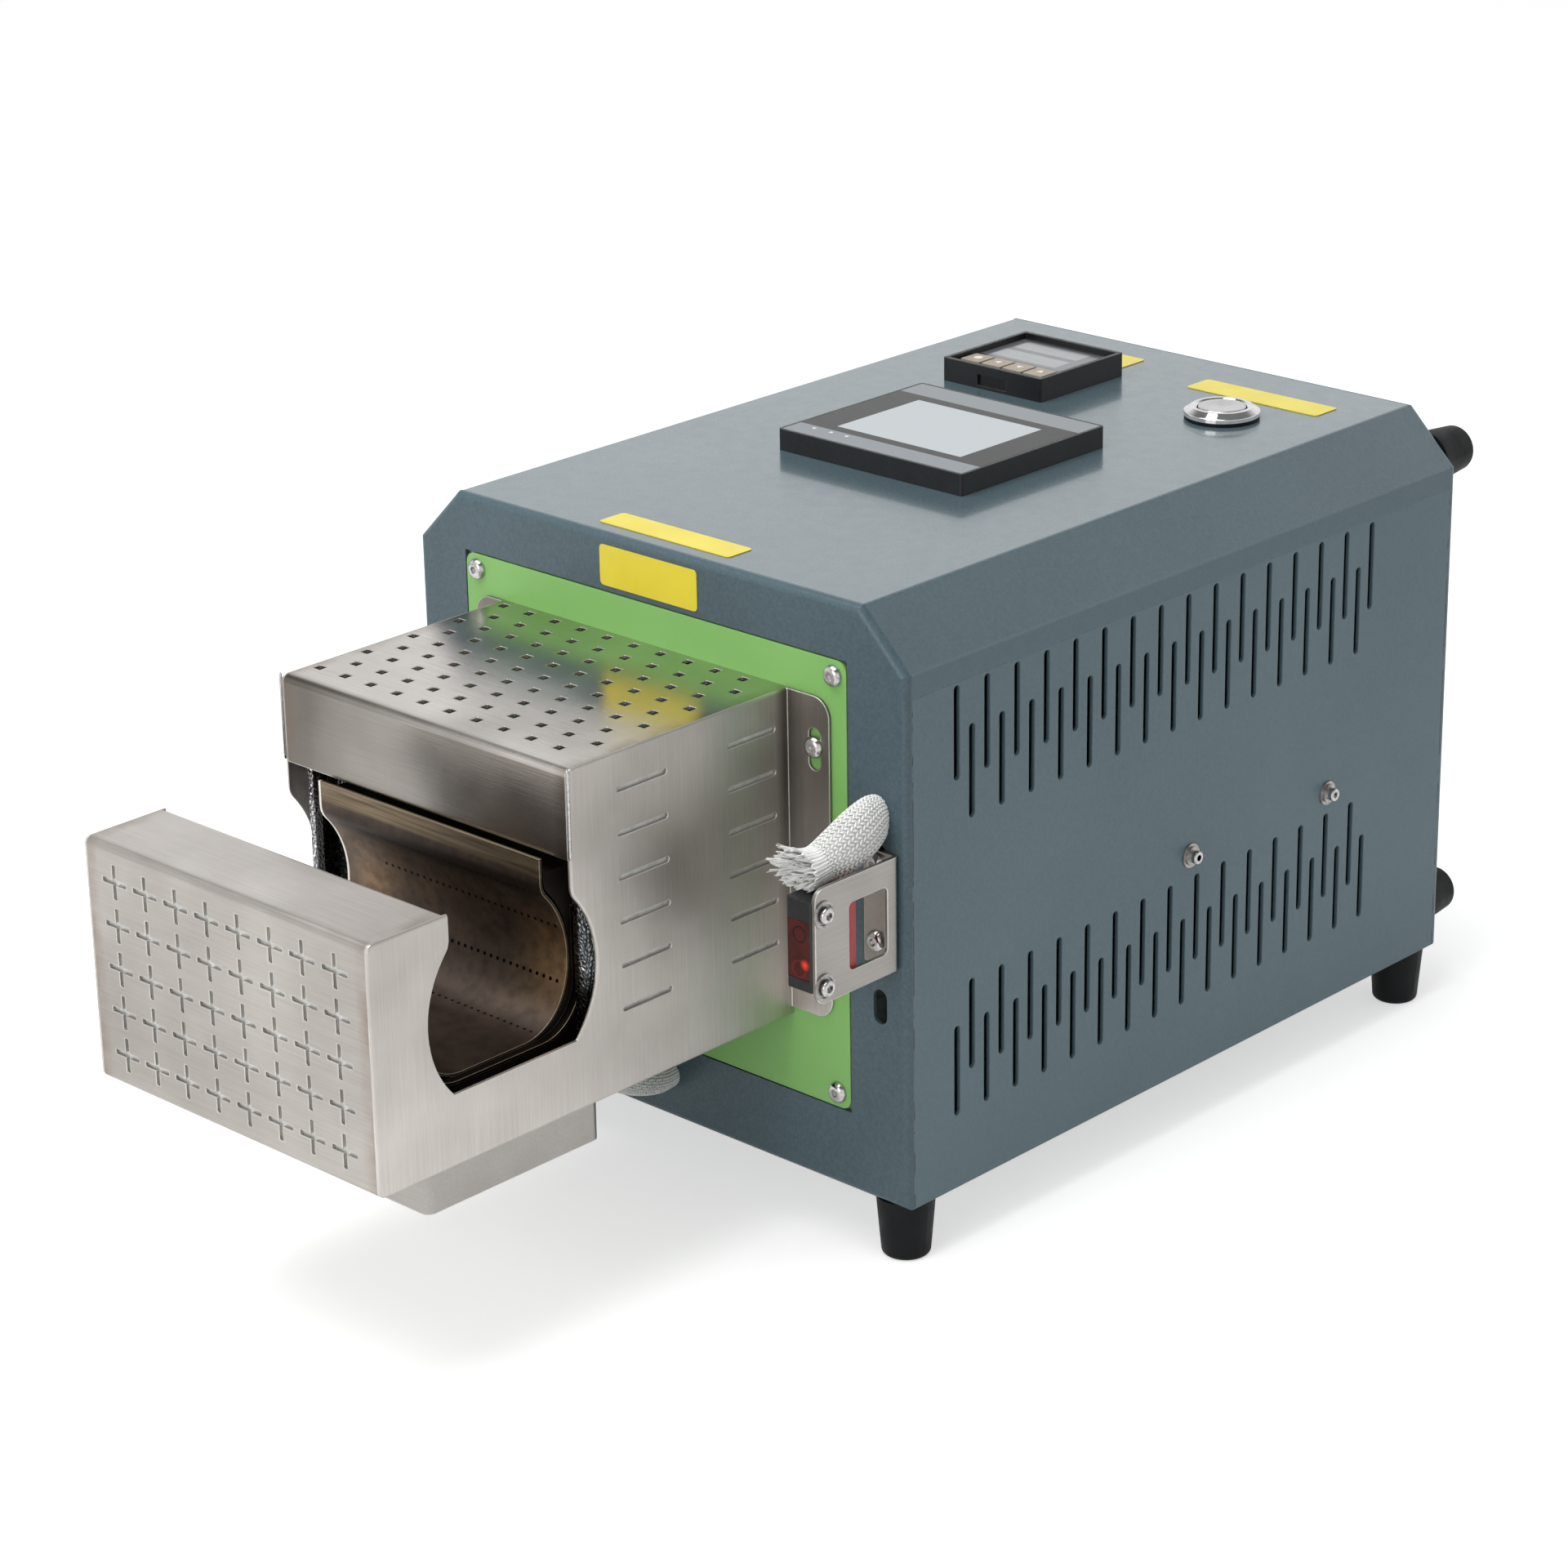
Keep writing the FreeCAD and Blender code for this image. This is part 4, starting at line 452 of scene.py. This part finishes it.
# ---- Nozzle liner and plenum
# Thin stainless sheet that the hot air has burnt brown: a straw-coloured neck, a round belly
# with four rows of fine air holes painted as near-black spots of shade, and a floor that is
# rolled up into the belly. A plate stands round each end, and beyond the right end the rim of
# the chamber shows, painted near-black as shade. Painted shade darkens the sheet under the neck
# and towards the floor, and a painted highlight lines its edges, brightest at the left end.
def away(finish, x, y):
    """The length of a step, from its two parts."""
    step = add(finish, "CombineXYZ", {"X": x, "Y": y}).outputs["Vector"]
    return add(finish, "VectorMath", {0: step}, operation="LENGTH").outputs["Value"]


def off_whole(finish, value):
    """How far a value is from the nearest whole number."""
    return calc(finish, "SUBTRACT", value, calc(finish, "ROUND", value))


trough_back, trough_level = -127.75, 107.3  # the trough's middle on the case, in mm
middle = at(0, trough_back, trough_level)
liner, skin = new_finish("liner_steel", Metallic=1.0)
across, back, up = axes(liner)
colour = mix(liner, cloud(liner, 26, 0, 1, detail=8.0), shade(92, 82, 75), shade(136, 115, 96))
colour = mix(liner, cloud(liner, 70, 0.0, 0.7, detail=8.0), colour, shade(98, 87, 80))
golden = times(liner, spread(liner, across, 26.0, 44.0), band(liner, up, 92.0, 119.0, 6.0),
               cloud(liner, 40, 0.2, 1.0, detail=6.0))
colour = mix(liner, golden, colour, shade(206, 170, 128))
golden = times(liner, band(liner, across, -40.0, -28.0, 9.0), band(liner, up, 104.0, 120.0, 6.0),
               cloud(liner, 50, 0.0, 0.8, detail=6.0))
colour = mix(liner, golden, colour, shade(190, 154, 114))
colour = mix(liner, cloud(liner, 260, -0.2, 0.45, detail=3.0), colour, shade(56, 49, 45))
# Painted shade: darker towards the floor of the trough.
colour = mix(liner, spread(liner, up, 101.0, 84.0, 0.0, 0.5), colour, shade(64, 56, 52))
# Painted shade under the neck, where the sheet turns down into the belly.
colour = mix(liner, times(liner, band(liner, up, 128.0, 136.0, 3.0), 0.75), colour, shade(44, 38, 35))
straw = mix(liner, cloud(liner, 1, 0, 1, stretch=(30, 900, 900)), shade(96, 82, 66), shade(154, 138, 114))
colour = mix(liner, spread(liner, up, 136.4, 137.6), colour, straw)
# The chamber's rim beyond the right end is painted near-black as shade.
colour = mix(liner, spread(liner, across, 53.1, 53.25), colour, shade(22, 19, 17))
# Painted highlight along the sheet's edges.
colour = mix(liner, times(liner, edge_mask(liner, 0.0005), 0.8), colour, shade(186, 172, 150))
# Painted highlight on the liner's left edge.
colour = mix(liner, spread(liner, across, -51.7, -51.9), colour, shade(236, 232, 226))

# The air holes, painted as near-black spots of shade: rows in equal turns about the trough's middle, the top
# row a little lower
hole_pitch, row_pitch = 3.1, 20.0
row_turn, level_row, top_drop = 0.581, 0.286, 0.127
from_middle = calc(liner, "ABSOLUTE", calc(liner, "SUBTRACT", back, trough_back))
from_level = calc(liner, "SUBTRACT", up, trough_level)
turn = calc(liner, "ARCTAN2", from_level, from_middle)
turn = calc(liner, "ADD", turn, times(liner, calc(liner, "GREATER_THAN", turn, 0.5), top_drop))
row = off_whole(liner, calc(liner, "DIVIDE", calc(liner, "SUBTRACT", turn, level_row), row_turn))
hole = off_whole(liner, calc(liner, "DIVIDE", across, hole_pitch))
gap = away(liner, times(liner, row, row_pitch), times(liner, hole, hole_pitch))
radius = away(liner, from_middle, from_level)
reach = times(liner, band(liner, radius, 30.5, 35.2), band(liner, across, -33.0, 50.2))
colour = mix(liner, times(liner, spread(liner, gap, 0.75, 0.6), reach), colour, shade(6, 5, 4))
lay(liner, skin, colour=colour, rough=cloud(liner, 60, 0.4, 0.55), edge=0.0003)


def section(x, start, *path):
    """The section of a bent sheet at x, the same at the front as at the rear. The path is in mm back and
    up from the trough's middle: a straight run to a place, or with an angle a bend round it."""
    shape = bmesh.new()
    tip = shape.verts.new(middle + Vector((x, *start)) / 1000)
    for back, up, *angle in path:
        spot = middle + Vector((x, back, up)) / 1000
        if angle:
            bend = bmesh.ops.spin(shape, geom=[tip], cent=spot, axis=(1, 0, 0), angle=angle[0], steps=14)
            tip = next(part for part in bend["geom_last"] if isinstance(part, bmesh.types.BMVert))
        else:
            tip = bmesh.ops.extrude_vert_indiv(shape, verts=[tip])["verts"][0]
            tip.co = spot
    bmesh.ops.mirror(shape, geom=list(shape.verts) + list(shape.edges), axis="Y", merge_dist=1e-6,
                     matrix=Matrix.Translation(-middle))
    bmesh.ops.remove_doubles(shape, verts=shape.verts, dist=1e-6)
    return shape


def widened(shape):
    """Faces drawn from every edge of the shape; gives their new corners."""
    run = bmesh.ops.extrude_edge_only(shape, edges=list(shape.edges))["geom"]
    return [part for part in run if isinstance(part, bmesh.types.BMVert)]


def sheet(name, shape, finish, thick=0.001):
    """Makes the drawn faces a sheet of the oven."""
    bmesh.ops.recalc_face_normals(shape, faces=shape.faces)
    bmesh.ops.solidify(shape, geom=list(shape.faces), thickness=thick)
    made = piece(name, shape, finish, smooth=True)
    made.data.set_sharp_from_angle(angle=0.6)
    return made


neck_foot = 27.59
belly = ((31.0, neck_foot, 0.727), (0.0, 0.0, -1.116), (13.42, -5.5, -1.182))
shape = section(-52.8, (24.0, 36.1), (24.0, neck_foot), *belly, (0.0, -25.5))
for vert in shape.verts:  # the front lip is lower than the rear one
    if vert.co.y < middle.y and vert.co.z > at(0, 0, 143).z:
        vert.co.z = at(0, 0, 136.0).z
bmesh.ops.translate(shape, vec=(0.1058, 0, 0), verts=widened(shape))
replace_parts(sheet("liner_sheet", shape, liner), "nozzle_liner")
shape = section(53.3, (36.25, 17.0), (36.25, -8.0), (18.25, -8.0, -math.pi / 2), (0.0, -26.0))
bmesh.ops.translate(shape, vec=(0.0033, 0, 0), verts=widened(shape))
sheet("chamber_rim", shape, liner)
burnt, skin = new_finish("burnt_steel", Metallic=0.6)
lay(burnt, skin, rough=cloud(burnt, 60, 0.5, 0.65), edge=0.0003,
    colour=mix(burnt, cloud(burnt, 40, 0, 1, detail=8.0), shade(18, 16, 15), shade(44, 36, 30)))
dress(burnt, "plenum_shell", "heater_tube")
plate_front, plate_rear, plate_foot, plate_top = -0.0402, 0.0407, -0.0413, 0.0307
ends = []
for x in (-55.1, 52.5):
    shape = section(x, (25.1, 30.7), (25.1, neck_foot), *belly, (0.0, -26.6))
    for vert in widened(shape):
        out = (vert.co - middle) * 3
        vert.co.y = middle.y + max(plate_front, min(plate_rear, out.y))
        vert.co.z = middle.z + max(plate_foot, min(plate_top, out.z))
    bmesh.ops.remove_doubles(shape, verts=shape.verts, dist=1e-6)
    ends.append(shape)
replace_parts(sheet("plenum_end_plates", joined(ends), burnt, 0.0008), "plenum_ends")

# ---- Insulation boards
# Glass-fibre board faced with aluminium foil, creased where it was pressed into place, with
# painted shade along the creases. Behind the openings of the front, the hood and the sides it
# lies close against the sheet. At the ends of the slot, next to the liner, painted shade darkens
# it, and the right end is painted greyer.
foil, skin = new_finish("foil", Metallic=1.0)
place = add(foil, "TexCoord").outputs["Object"]
crease = add(foil, "TexVoronoi", {"Vector": place, "Scale": 620.0}, feature="DISTANCE_TO_EDGE")
crease = crease.outputs["Distance"]
across, back, up = axes(foil)
slot_end = band(foil, back, -104.0, -87.0, 3.0)
inner = calc(foil, "MAXIMUM", spread(foil, across, 59.8, 58.6), spread(foil, up, 104.0, 96.0))
# Painted shade on the foil at the ends of the slot, next to the liner.
slot_shade = times(foil, inner, spread(foil, across, -66.6, -65.6), slot_end)
# Painted shade: greyer foil at the slot's right end.
right_end_shade = times(foil, spread(foil, across, 55.0, 56.0), slot_end, 0.75)
# Painted shade along the creases, besides their bumps.
colour = mix(foil, spread(foil, crease, 0.0, 0.25), shade(120, 122, 124), shade(232, 233, 234))
colour = mix(foil, right_end_shade, colour, shade(104, 110, 114))
lay(foil, skin, colour=mix(foil, slot_shade, colour, shade(26, 23, 21)),
    rough=cloud(foil, 200, 0.25, 0.4), height=crease, depth=2e-3)
dress(foil, "insulation_boards")
pressed_foil = mottled("pressed_foil", (300, shade(206, 206, 204), shade(240, 240, 238)), (200, 0.45, 0.6),
                       grain=900, depth=6e-5, Metallic=0.35)
for name, low, high, thin in (("front_facing", (-71.0, -185.7, 60.5), (62.0, -184.85, 141.0), 1),
                              ("hood_facing", (-70.5, -98.0, 171.8), (61.5, -1.5, 172.5), 2),
                              ("right_facing", (61.85, -88.0, 61.5), (62.7, -3.5, 165.0), 0),
                              ("left_facing", (-71.7, -88.0, 61.5), (-68.55, -3.5, 165.0), 0)):
    piece(name, slab(low, high, 1.0, thin), pressed_foil)

# ---- Light sensor
# Black moulded body on the bracket, with a dark red window in front, a round lens and a
# small glowing lamp behind it, and a red rear cap.
dress(black_plastic, "sensor_housing")
red_window, skin = new_finish("red_window", Roughness=0.22, Specular_IOR_Level=0.3)
across, _, up = axes(red_window)


def from_point(x, z):
    """The distance in mm from a point on the sensor's front."""
    return away(red_window, calc(red_window, "SUBTRACT", across, x), calc(red_window, "SUBTRACT", up, z))


colour = mix(red_window, cloud(red_window, 160, 0, 1), shade(54, 18, 16), shade(84, 24, 22))
lens_rim = band(red_window, from_point(105.2, 111.8), 2.3, 3.0, 0.25)
colour = mix(red_window, lens_rim, colour, shade(34, 14, 13))
frame_line = band(red_window, from_point(105.0, 99.6), 2.6, 3.1, 0.2)
colour = mix(red_window, times(red_window, frame_line, 0.5), colour, shade(130, 38, 32))
glow = spread(red_window, from_point(107.6, 101.6), 2.2, 0.4)
colour = mix(red_window, glow, colour, shade(214, 52, 34))
lay(red_window, skin, colour=colour, edge=0.0003)
red_window.node_tree.links.new(colour, skin.inputs["Emission Color"])
red_window.node_tree.links.new(times(red_window, glow, 0.35), skin.inputs["Emission Strength"])
dress(red_window, "sensor_lens")
red_plastic = mottled("red_plastic", (60, shade(168, 50, 54), shade(184, 62, 66)), (300, 0.3, 0.42),
                      edge=0.0003)
dress(red_plastic, "sensor_cap")


# ---- Woven sleeves
# Braided glass-fibre sleeving over the leads: white yarns slanted left and right in turn, so
# that they read as columns of small chevrons. Both sleeves are pressed oval, and the sensor's
# frays into loose tufts at its cut end.
steps = 120  # sections along a sleeve
bracket_top = at(0, 0, 124.6).z


def smooth_run(marks):
    """Sections evenly between the marks: place, direction, half width, half height, all in metres."""
    def bend(values, t):
        k = min(int(t), len(values) - 2)
        before, here, after, last = (values[max(0, min(len(values) - 1, k + i))] for i in (-1, 0, 1, 2))
        s = t - k
        return 0.5 * ((2 * here) + (after - before) * s + (2 * before - 5 * here + 4 * after - last) * s * s
                      + (3 * here - before - 3 * after + last) * s ** 3)

    spots = [at(*mark[:3]) for mark in marks]
    wide = [mark[3] / 1000 for mark in marks]
    tall = [mark[4] / 1000 for mark in marks]
    share = [i * (len(marks) - 1) / steps for i in range(steps + 1)]
    places = [Vector([bend([p[a] for p in spots], t) for a in range(3)]) for t in share]
    run = []
    for i, t in enumerate(share):
        ahead = (places[min(i + 1, steps)] - places[max(i - 1, 0)]).normalized()
        run.append((places[i], ahead, bend(wide, t), bend(tall, t)))
    return run


def round_the(run, i, angle, share=1.0, lowest=-1.0):
    """A point on the sleeve's skin, or a share of the way out to it, and the direction out."""
    middle, ahead, wide, tall = run[i]
    side = Vector((1, 0, 0))
    up = ahead.cross(side).normalized()
    out = (side * math.cos(angle) / wide + up * math.sin(angle) / tall).normalized()
    spot = middle + (side * wide * math.cos(angle) + up * tall * math.sin(angle)) * share
    spot.z = max(spot.z, lowest)
    return spot, out


def woven_sleeve(name, node, marks, columns, course, lowest=-1.0):
    """A sleeve of slanted stitches on a shadowed lining; course is the length of a stitch row in mm."""
    run = smooth_run(marks)
    length = sum((b[0] - a[0]).length for a, b in zip(run, run[1:])) * 1000
    shape = bmesh.new()
    sides = 44
    first = None
    for i in range(0, steps + 1, 3):
        spots = [round_the(run, i, 2 * math.pi * k / sides, 0.95, lowest)[0] for k in range(sides)]
        ring = [shape.verts.new(spot) for spot in spots]
        edges = [shape.edges.new((ring[k - 1], ring[k])) for k in range(sides)]
        if first:
            bmesh.ops.bridge_loops(shape, edges=first + edges)
        first = edges
    bmesh.ops.recalc_face_normals(shape, faces=shape.faces)
    piece(name + "_lining", shape, shadow_yarn, smooth=True)
    braid = bmesh.new()
    rows = int(length / course)
    half_wide, half_thick, half_long, usual_girth = 0.00042, 0.00036, 0.00102, 0.0155
    stitches = bpy.data.meshes.new("stitches")
    for j in range(rows):
        course_row = bmesh.new()
        for k in range(columns):
            i = min(int(steps * (j + 0.5 + 0.3 * (k % 2)) / rows), steps - 1)
            spot, out = round_the(run, i, 2 * math.pi * (k + 0.5) / columns, 1.0, lowest)
            ahead = run[i][1]
            around = out.cross(ahead).normalized()
            slant = 0.6 if k % 2 else -0.6
            long = (ahead * math.cos(slant) + around * math.sin(slant)).normalized()
            wide = out.cross(long).normalized()
            girth = (run[i][2] + run[i][3]) / usual_girth
            turn = Matrix((wide * half_wide, out * half_thick, long * half_long * girth)).transposed()
            bmesh.ops.create_uvsphere(course_row, u_segments=6, v_segments=4, radius=1.0,
                                      matrix=Matrix.Translation(spot) @ turn.to_4x4())
        course_row.to_mesh(stitches)
        course_row.free()
        braid.from_mesh(stitches)
    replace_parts(piece(name, braid, yarn, smooth=True), node)
    return run


yarn = mottled("glass_yarn", (300, shade(242, 242, 239), shade(252, 252, 250)), (600, 0.5, 0.7),
               grain=4000, depth=6e-5, Sheen_Weight=0.2)
shadow_yarn = mottled("shadow_yarn", (300, shade(214, 215, 212), shade(230, 231, 228)),
                      grain=3000, depth=6e-5, Roughness=0.8)
sensor_run = woven_sleeve("sensor_braid", "sensor_sleeve",
                          [(102.8, 0.3, 140.0, 4.4, 6.2), (102.9, -2.6, 139.6, 5.4, 8.4),
                           (103.2, -10.0, 136.8, 6.5, 9.4), (102.9, -19.0, 133.4, 6.5, 8.8),
                           (101.4, -27.0, 131.0, 5.9, 6.8), (100.2, -31.0, 130.2, 6.8, 6.8),
                           (99.0, -34.5, 130.0, 8.2, 7.4)], 38, 1.22, lowest=bracket_top)
woven_sleeve("heater_braid", "heater_sleeve",
             [(1.6, 0.3, 17.0, 6.2, 5.0), (1.6, -8.0, 17.2, 6.6, 5.4), (1.5, -20.0, 21.5, 6.4, 5.4),
              (1.2, -30.0, 29.0, 6.2, 5.4), (0.9, -37.5, 41.0, 6.2, 5.4), (0.7, -40.5, 57.0, 6.2, 5.4)],
             32, 1.22)


# Loose ends of the sensor's sleeve: the yarns open into small bundles of strands
def shaken(amount):
    """A random step of up to this amount along each axis."""
    return Vector([random.uniform(-amount, amount) for _ in range(3)])


random.seed(7)
tuft = bpy.data.curves.new("sleeve_tuft", "CURVE")
tuft.dimensions = "3D"
tuft.bevel_depth = 0.00017
tuft.bevel_resolution = 0
ring_bundles, root_step, strand_floor = 28, 114, at(0, 0, 124.4).z
for bundle in range(3 * ring_bundles):
    angle = 2 * math.pi * bundle / ring_bundles
    share = (1.0, 0.72, 0.42)[bundle // ring_bundles]
    root, out = round_the(sensor_run, root_step, angle, share, bracket_top)
    lean = out * random.uniform(0.2, 0.8) * share + sensor_run[steps][1]
    lean = lean + Vector((-0.35, 0, random.uniform(-0.1, 0.2)))
    lean = (lean + shaken(0.2)).normalized()
    curl = shaken(0.25)
    long = random.uniform(0.0026, 0.0055) * (0.6 if out.z < -0.5 else 1.0)
    for strand in range(6):
        way = (lean + shaken(0.09)).normalized()
        start = root + shaken(0.0003)
        reach = long * random.uniform(0.8, 1.08)
        spline = tuft.splines.new("POLY")
        spline.points.add(5)
        for i, point in enumerate(spline.points):
            t = i / 5
            spot = start + way * reach * t + curl * reach * t * t
            spot.z = max(spot.z, strand_floor)
            point.co = (*spot, 1.0)
            point.radius = 1.0 - 0.4 * t
thing = bpy.data.objects.new("sleeve_tuft", tuft)
bpy.context.scene.collection.objects.link(thing)
drawn = thing.evaluated_get(bpy.context.evaluated_depsgraph_get())
shape = bmesh.new()
shape.from_mesh(bpy.data.meshes.new_from_object(drawn))
bpy.data.objects.remove(thing)
piece("sleeve_tuft", shape, yarn, smooth=True)

# ---- Temperature controller
# A square black instrument pushed into the cover: raised rim with a pull recess in front,
# a dark printed face with two grey windows, and four beige silicone keys with raised marks.
instrument, skin = new_finish("instrument_plastic")
across, back, up = axes(instrument)
# Painted shade: the pull recess is painted darker than the rest of the housing.
pull = times(instrument, band(instrument, across, -41.3, -27.1), band(instrument, back, 216.1, 217.0),
             band(instrument, up, 211.1, 215.5))
# Painted highlight along the edges.
edge_highlight = times(instrument, edge_mask(instrument, 0.0004), 0.35)
colour = mix(instrument, cloud(instrument, 70, 0, 1), shade(14, 16, 19), shade(22, 25, 28))
colour = mix(instrument, edge_highlight, colour, shade(104, 108, 112))
lay(instrument, skin, colour=mix(instrument, pull, colour, shade(2, 2, 3)),
    rough=cloud(instrument, 500, 0.3, 0.44), height=cloud(instrument, 2600, 0, 1), depth=1.5e-5, edge=0.0004)
dress(instrument, "controller_housing", "touch_panel_housing")


def panel(finish, left, right, front, rear):
    """One inside a rectangle on the cover."""
    across, back, _ = axes(finish)
    return times(finish, band(finish, across, left, right), band(finish, back, front, rear))


face_print, skin = new_finish("face_print", Coat_Weight=0.6, Coat_Roughness=0.08)
colour = mix(face_print, cloud(face_print, 50, 0, 1), shade(38, 36, 35), shade(46, 44, 43))
colour = mix(face_print, panel(face_print, -55.6, -16.5, 234.5, 260.0), colour, shade(84, 88, 92))
for window in ((-52.5, -21.0, 236.4, 245.6), (-51.5, -21.0, 249.0, 258.0)):
    colour = mix(face_print, panel(face_print, *window), colour, shade(140, 144, 147))
lay(face_print, skin, colour=colour, rough=cloud(face_print, 300, 0.28, 0.36))
dress(face_print, "controller_face")
silicone = mottled("key_silicone", (120, shade(158, 146, 132), shade(170, 158, 144)), (400, 0.4, 0.55),
                   edge=0.0004)
dress(silicone, "controller_key_set", "controller_key_shift", "controller_key_down", "controller_key_up")
mark_ink = mottled("mark_ink", (200, shade(226, 222, 214), shade(238, 235, 228)), (400, 0.4, 0.5))
mark_radius, mark_thick = 0.0017, 0.0001
for name, x, sides, turn in (("set", -50.8, 20, 0.0), ("shift", -40.6, 3, math.pi),
                             ("down", -30.4, 3, -math.pi / 2), ("up", -20.2, 3, math.pi / 2)):
    shape = bmesh.new()
    place = Matrix.Translation(at(x, 227.4, 217.66)) @ Matrix.Rotation(turn - math.pi / 2, 4, "Z")
    bmesh.ops.create_cone(shape, cap_ends=True, segments=sides, radius1=mark_radius, radius2=mark_radius,
                          depth=mark_thick, matrix=place)
    piece("key_mark_" + name, shape, mark_ink, body="key_" + name)

# ---- Touch panel
# A black bezel with a printed film over glass: pale screen in the middle, a dark band round
# it, a grey strip at the front and the back, and three small pale dots on the front strip.
film, skin = new_finish("film", Specular_IOR_Level=0.16)
colour = mix(film, cloud(film, 40, 0, 1), shade(14, 15, 17), shade(20, 21, 23))
for strip in ((-43.0, 43.0, 109.0, 120.4), (-43.0, 43.0, 174.0, 188.0)):
    colour = mix(film, panel(film, *strip), colour, shade(128, 134, 139))
colour = mix(film, panel(film, -29.0, 29.4, 125.0, 169.0), colour, shade(182, 188, 192))
for dot in (-33.7, -25.5, -18.0):
    colour = mix(film, panel(film, dot - 0.7, dot + 0.7, 117.3, 118.7), colour, shade(216, 219, 221))
lay(film, skin, colour=colour, rough=cloud(film, 200, 0.14, 0.2), edge=0.0002)
dress(film, "touch_panel_overlay")

# ---- Start button
# A turned steel push button: polished conical rim over a black gasket, and a plunger whose
# top is spun smooth in fine rings.
polished = mottled("polished_steel", (300, shade(206, 206, 206), shade(228, 228, 228)), (500, 0.04, 0.09),
                   edge=0.0002, Metallic=1.0)
dress(polished, "start_button_bezel")
spun, skin = new_finish("spun_steel", Metallic=1.0)
across, back, _ = axes(spun)
button_x, button_back = 52.2, 244.0
ring = away(spun, calc(spun, "SUBTRACT", across, button_x), calc(spun, "SUBTRACT", back, button_back))
ring = add(spun, "CombineXYZ", {"X": ring}).outputs["Vector"]
lines = add(spun, "TexNoise", {"Vector": ring, "Scale": 9.0, "Detail": 3.0}).outputs["Fac"]
lay(spun, skin, colour=mix(spun, lines, shade(176, 176, 176), shade(220, 220, 220)),
    rough=cloud(spun, 500, 0.2, 0.3), height=lines, depth=1e-5, edge=0.0003)
dress(spun, "start_button_plunger")

# ---- Floor, light and camera
# A pale floor that keeps the shadow, a white room that grows darker overhead in what metal
# and glass show, and large soft lamps above. The camera stands where the photograph's did.
mesh = bpy.data.meshes.new("floor")
shape = bmesh.new()
bmesh.ops.create_grid(shape, x_segments=1, y_segments=1, size=9.0)
shape.to_mesh(mesh)
shape.free()
floor = bpy.data.objects.new("floor", mesh)
bpy.context.scene.collection.objects.link(floor)
paper = bpy.data.materials.new("paper")
paper.use_nodes = True
paper.node_tree.nodes.clear()
rays = add(paper, "LightPath").outputs
seen = calc(paper, "MAXIMUM", rays["Is Camera Ray"], rays["Is Transmission Ray"])
glow = calc(paper, "ADD", times(paper, seen, 0.55), times(paper, rays["Is Glossy Ray"], 0.3))
dull = add(paper, "BsdfDiffuse", {"Color": (0.82, 0.82, 0.82, 1.0)})
lit = add(paper, "Emission", {"Color": (1.0, 1.0, 1.0, 1.0), "Strength": glow})
both = add(paper, "AddShader", {0: dull.outputs[0], 1: lit.outputs[0]})
paper.node_tree.links.new(both.outputs[0], add(paper, "OutputMaterial").inputs["Surface"])
mesh.materials.append(paper)

room = bpy.data.worlds.new("room")
bpy.context.scene.world = room
room.use_nodes = True
rays = add(room, "LightPath").outputs
height = add(room, "SeparateXYZ", {"Vector": add(room, "TexCoord").outputs["Generated"]}).outputs["Z"]
shine = spread(room, height, 0.45, 0.72, 1.0, 0.22)
level = times(room, rays["Is Glossy Ray"], shine)
clear = calc(room, "MAXIMUM", rays["Is Camera Ray"], rays["Is Transmission Ray"])
level = calc(room, "MAXIMUM", level, clear)
dim = spread(room, calc(room, "MAXIMUM", rays["Is Glossy Ray"], clear), 0.0, 1.0, 0.42, 0.0)
sky = room.node_tree.nodes["Background"].inputs
room.node_tree.links.new(calc(room, "ADD", level, dim), sky["Strength"])
sky["Color"].default_value = (1.0, 1.0, 1.0, 1.0)

for name, spot, aim, size, power in (("overhead", (-0.2, -0.5, 1.7), (0, 0, 0.1), 1.4, 24.0),
                                     ("front_fill", (0.2, -2.0, 0.8), (0, 0, 0.1), 1.2, 9.0)):
    lamp = bpy.data.lights.new(name, "AREA")
    lamp.size = size
    lamp.energy = power
    holder = bpy.data.objects.new(name, lamp)
    holder.location = spot
    holder.rotation_euler = (Vector(aim) - Vector(spot)).to_track_quat("-Z", "Y").to_euler()
    bpy.context.scene.collection.objects.link(holder)

camera = bpy.data.objects.new("camera", bpy.data.cameras.new("camera"))
bpy.context.scene.collection.objects.link(camera)
camera.data.lens = 98.915
camera.data.sensor_width = 36.0
camera.matrix_world = Matrix(((0.728396, -0.23746, 0.642692, 0.97842),
                              (0.684976, 0.273934, -0.675106, -1.03217),
                              (-0.015744, 0.931973, 0.362187, 0.67968), (0, 0, 0, 1)))
bpy.context.scene.camera = camera
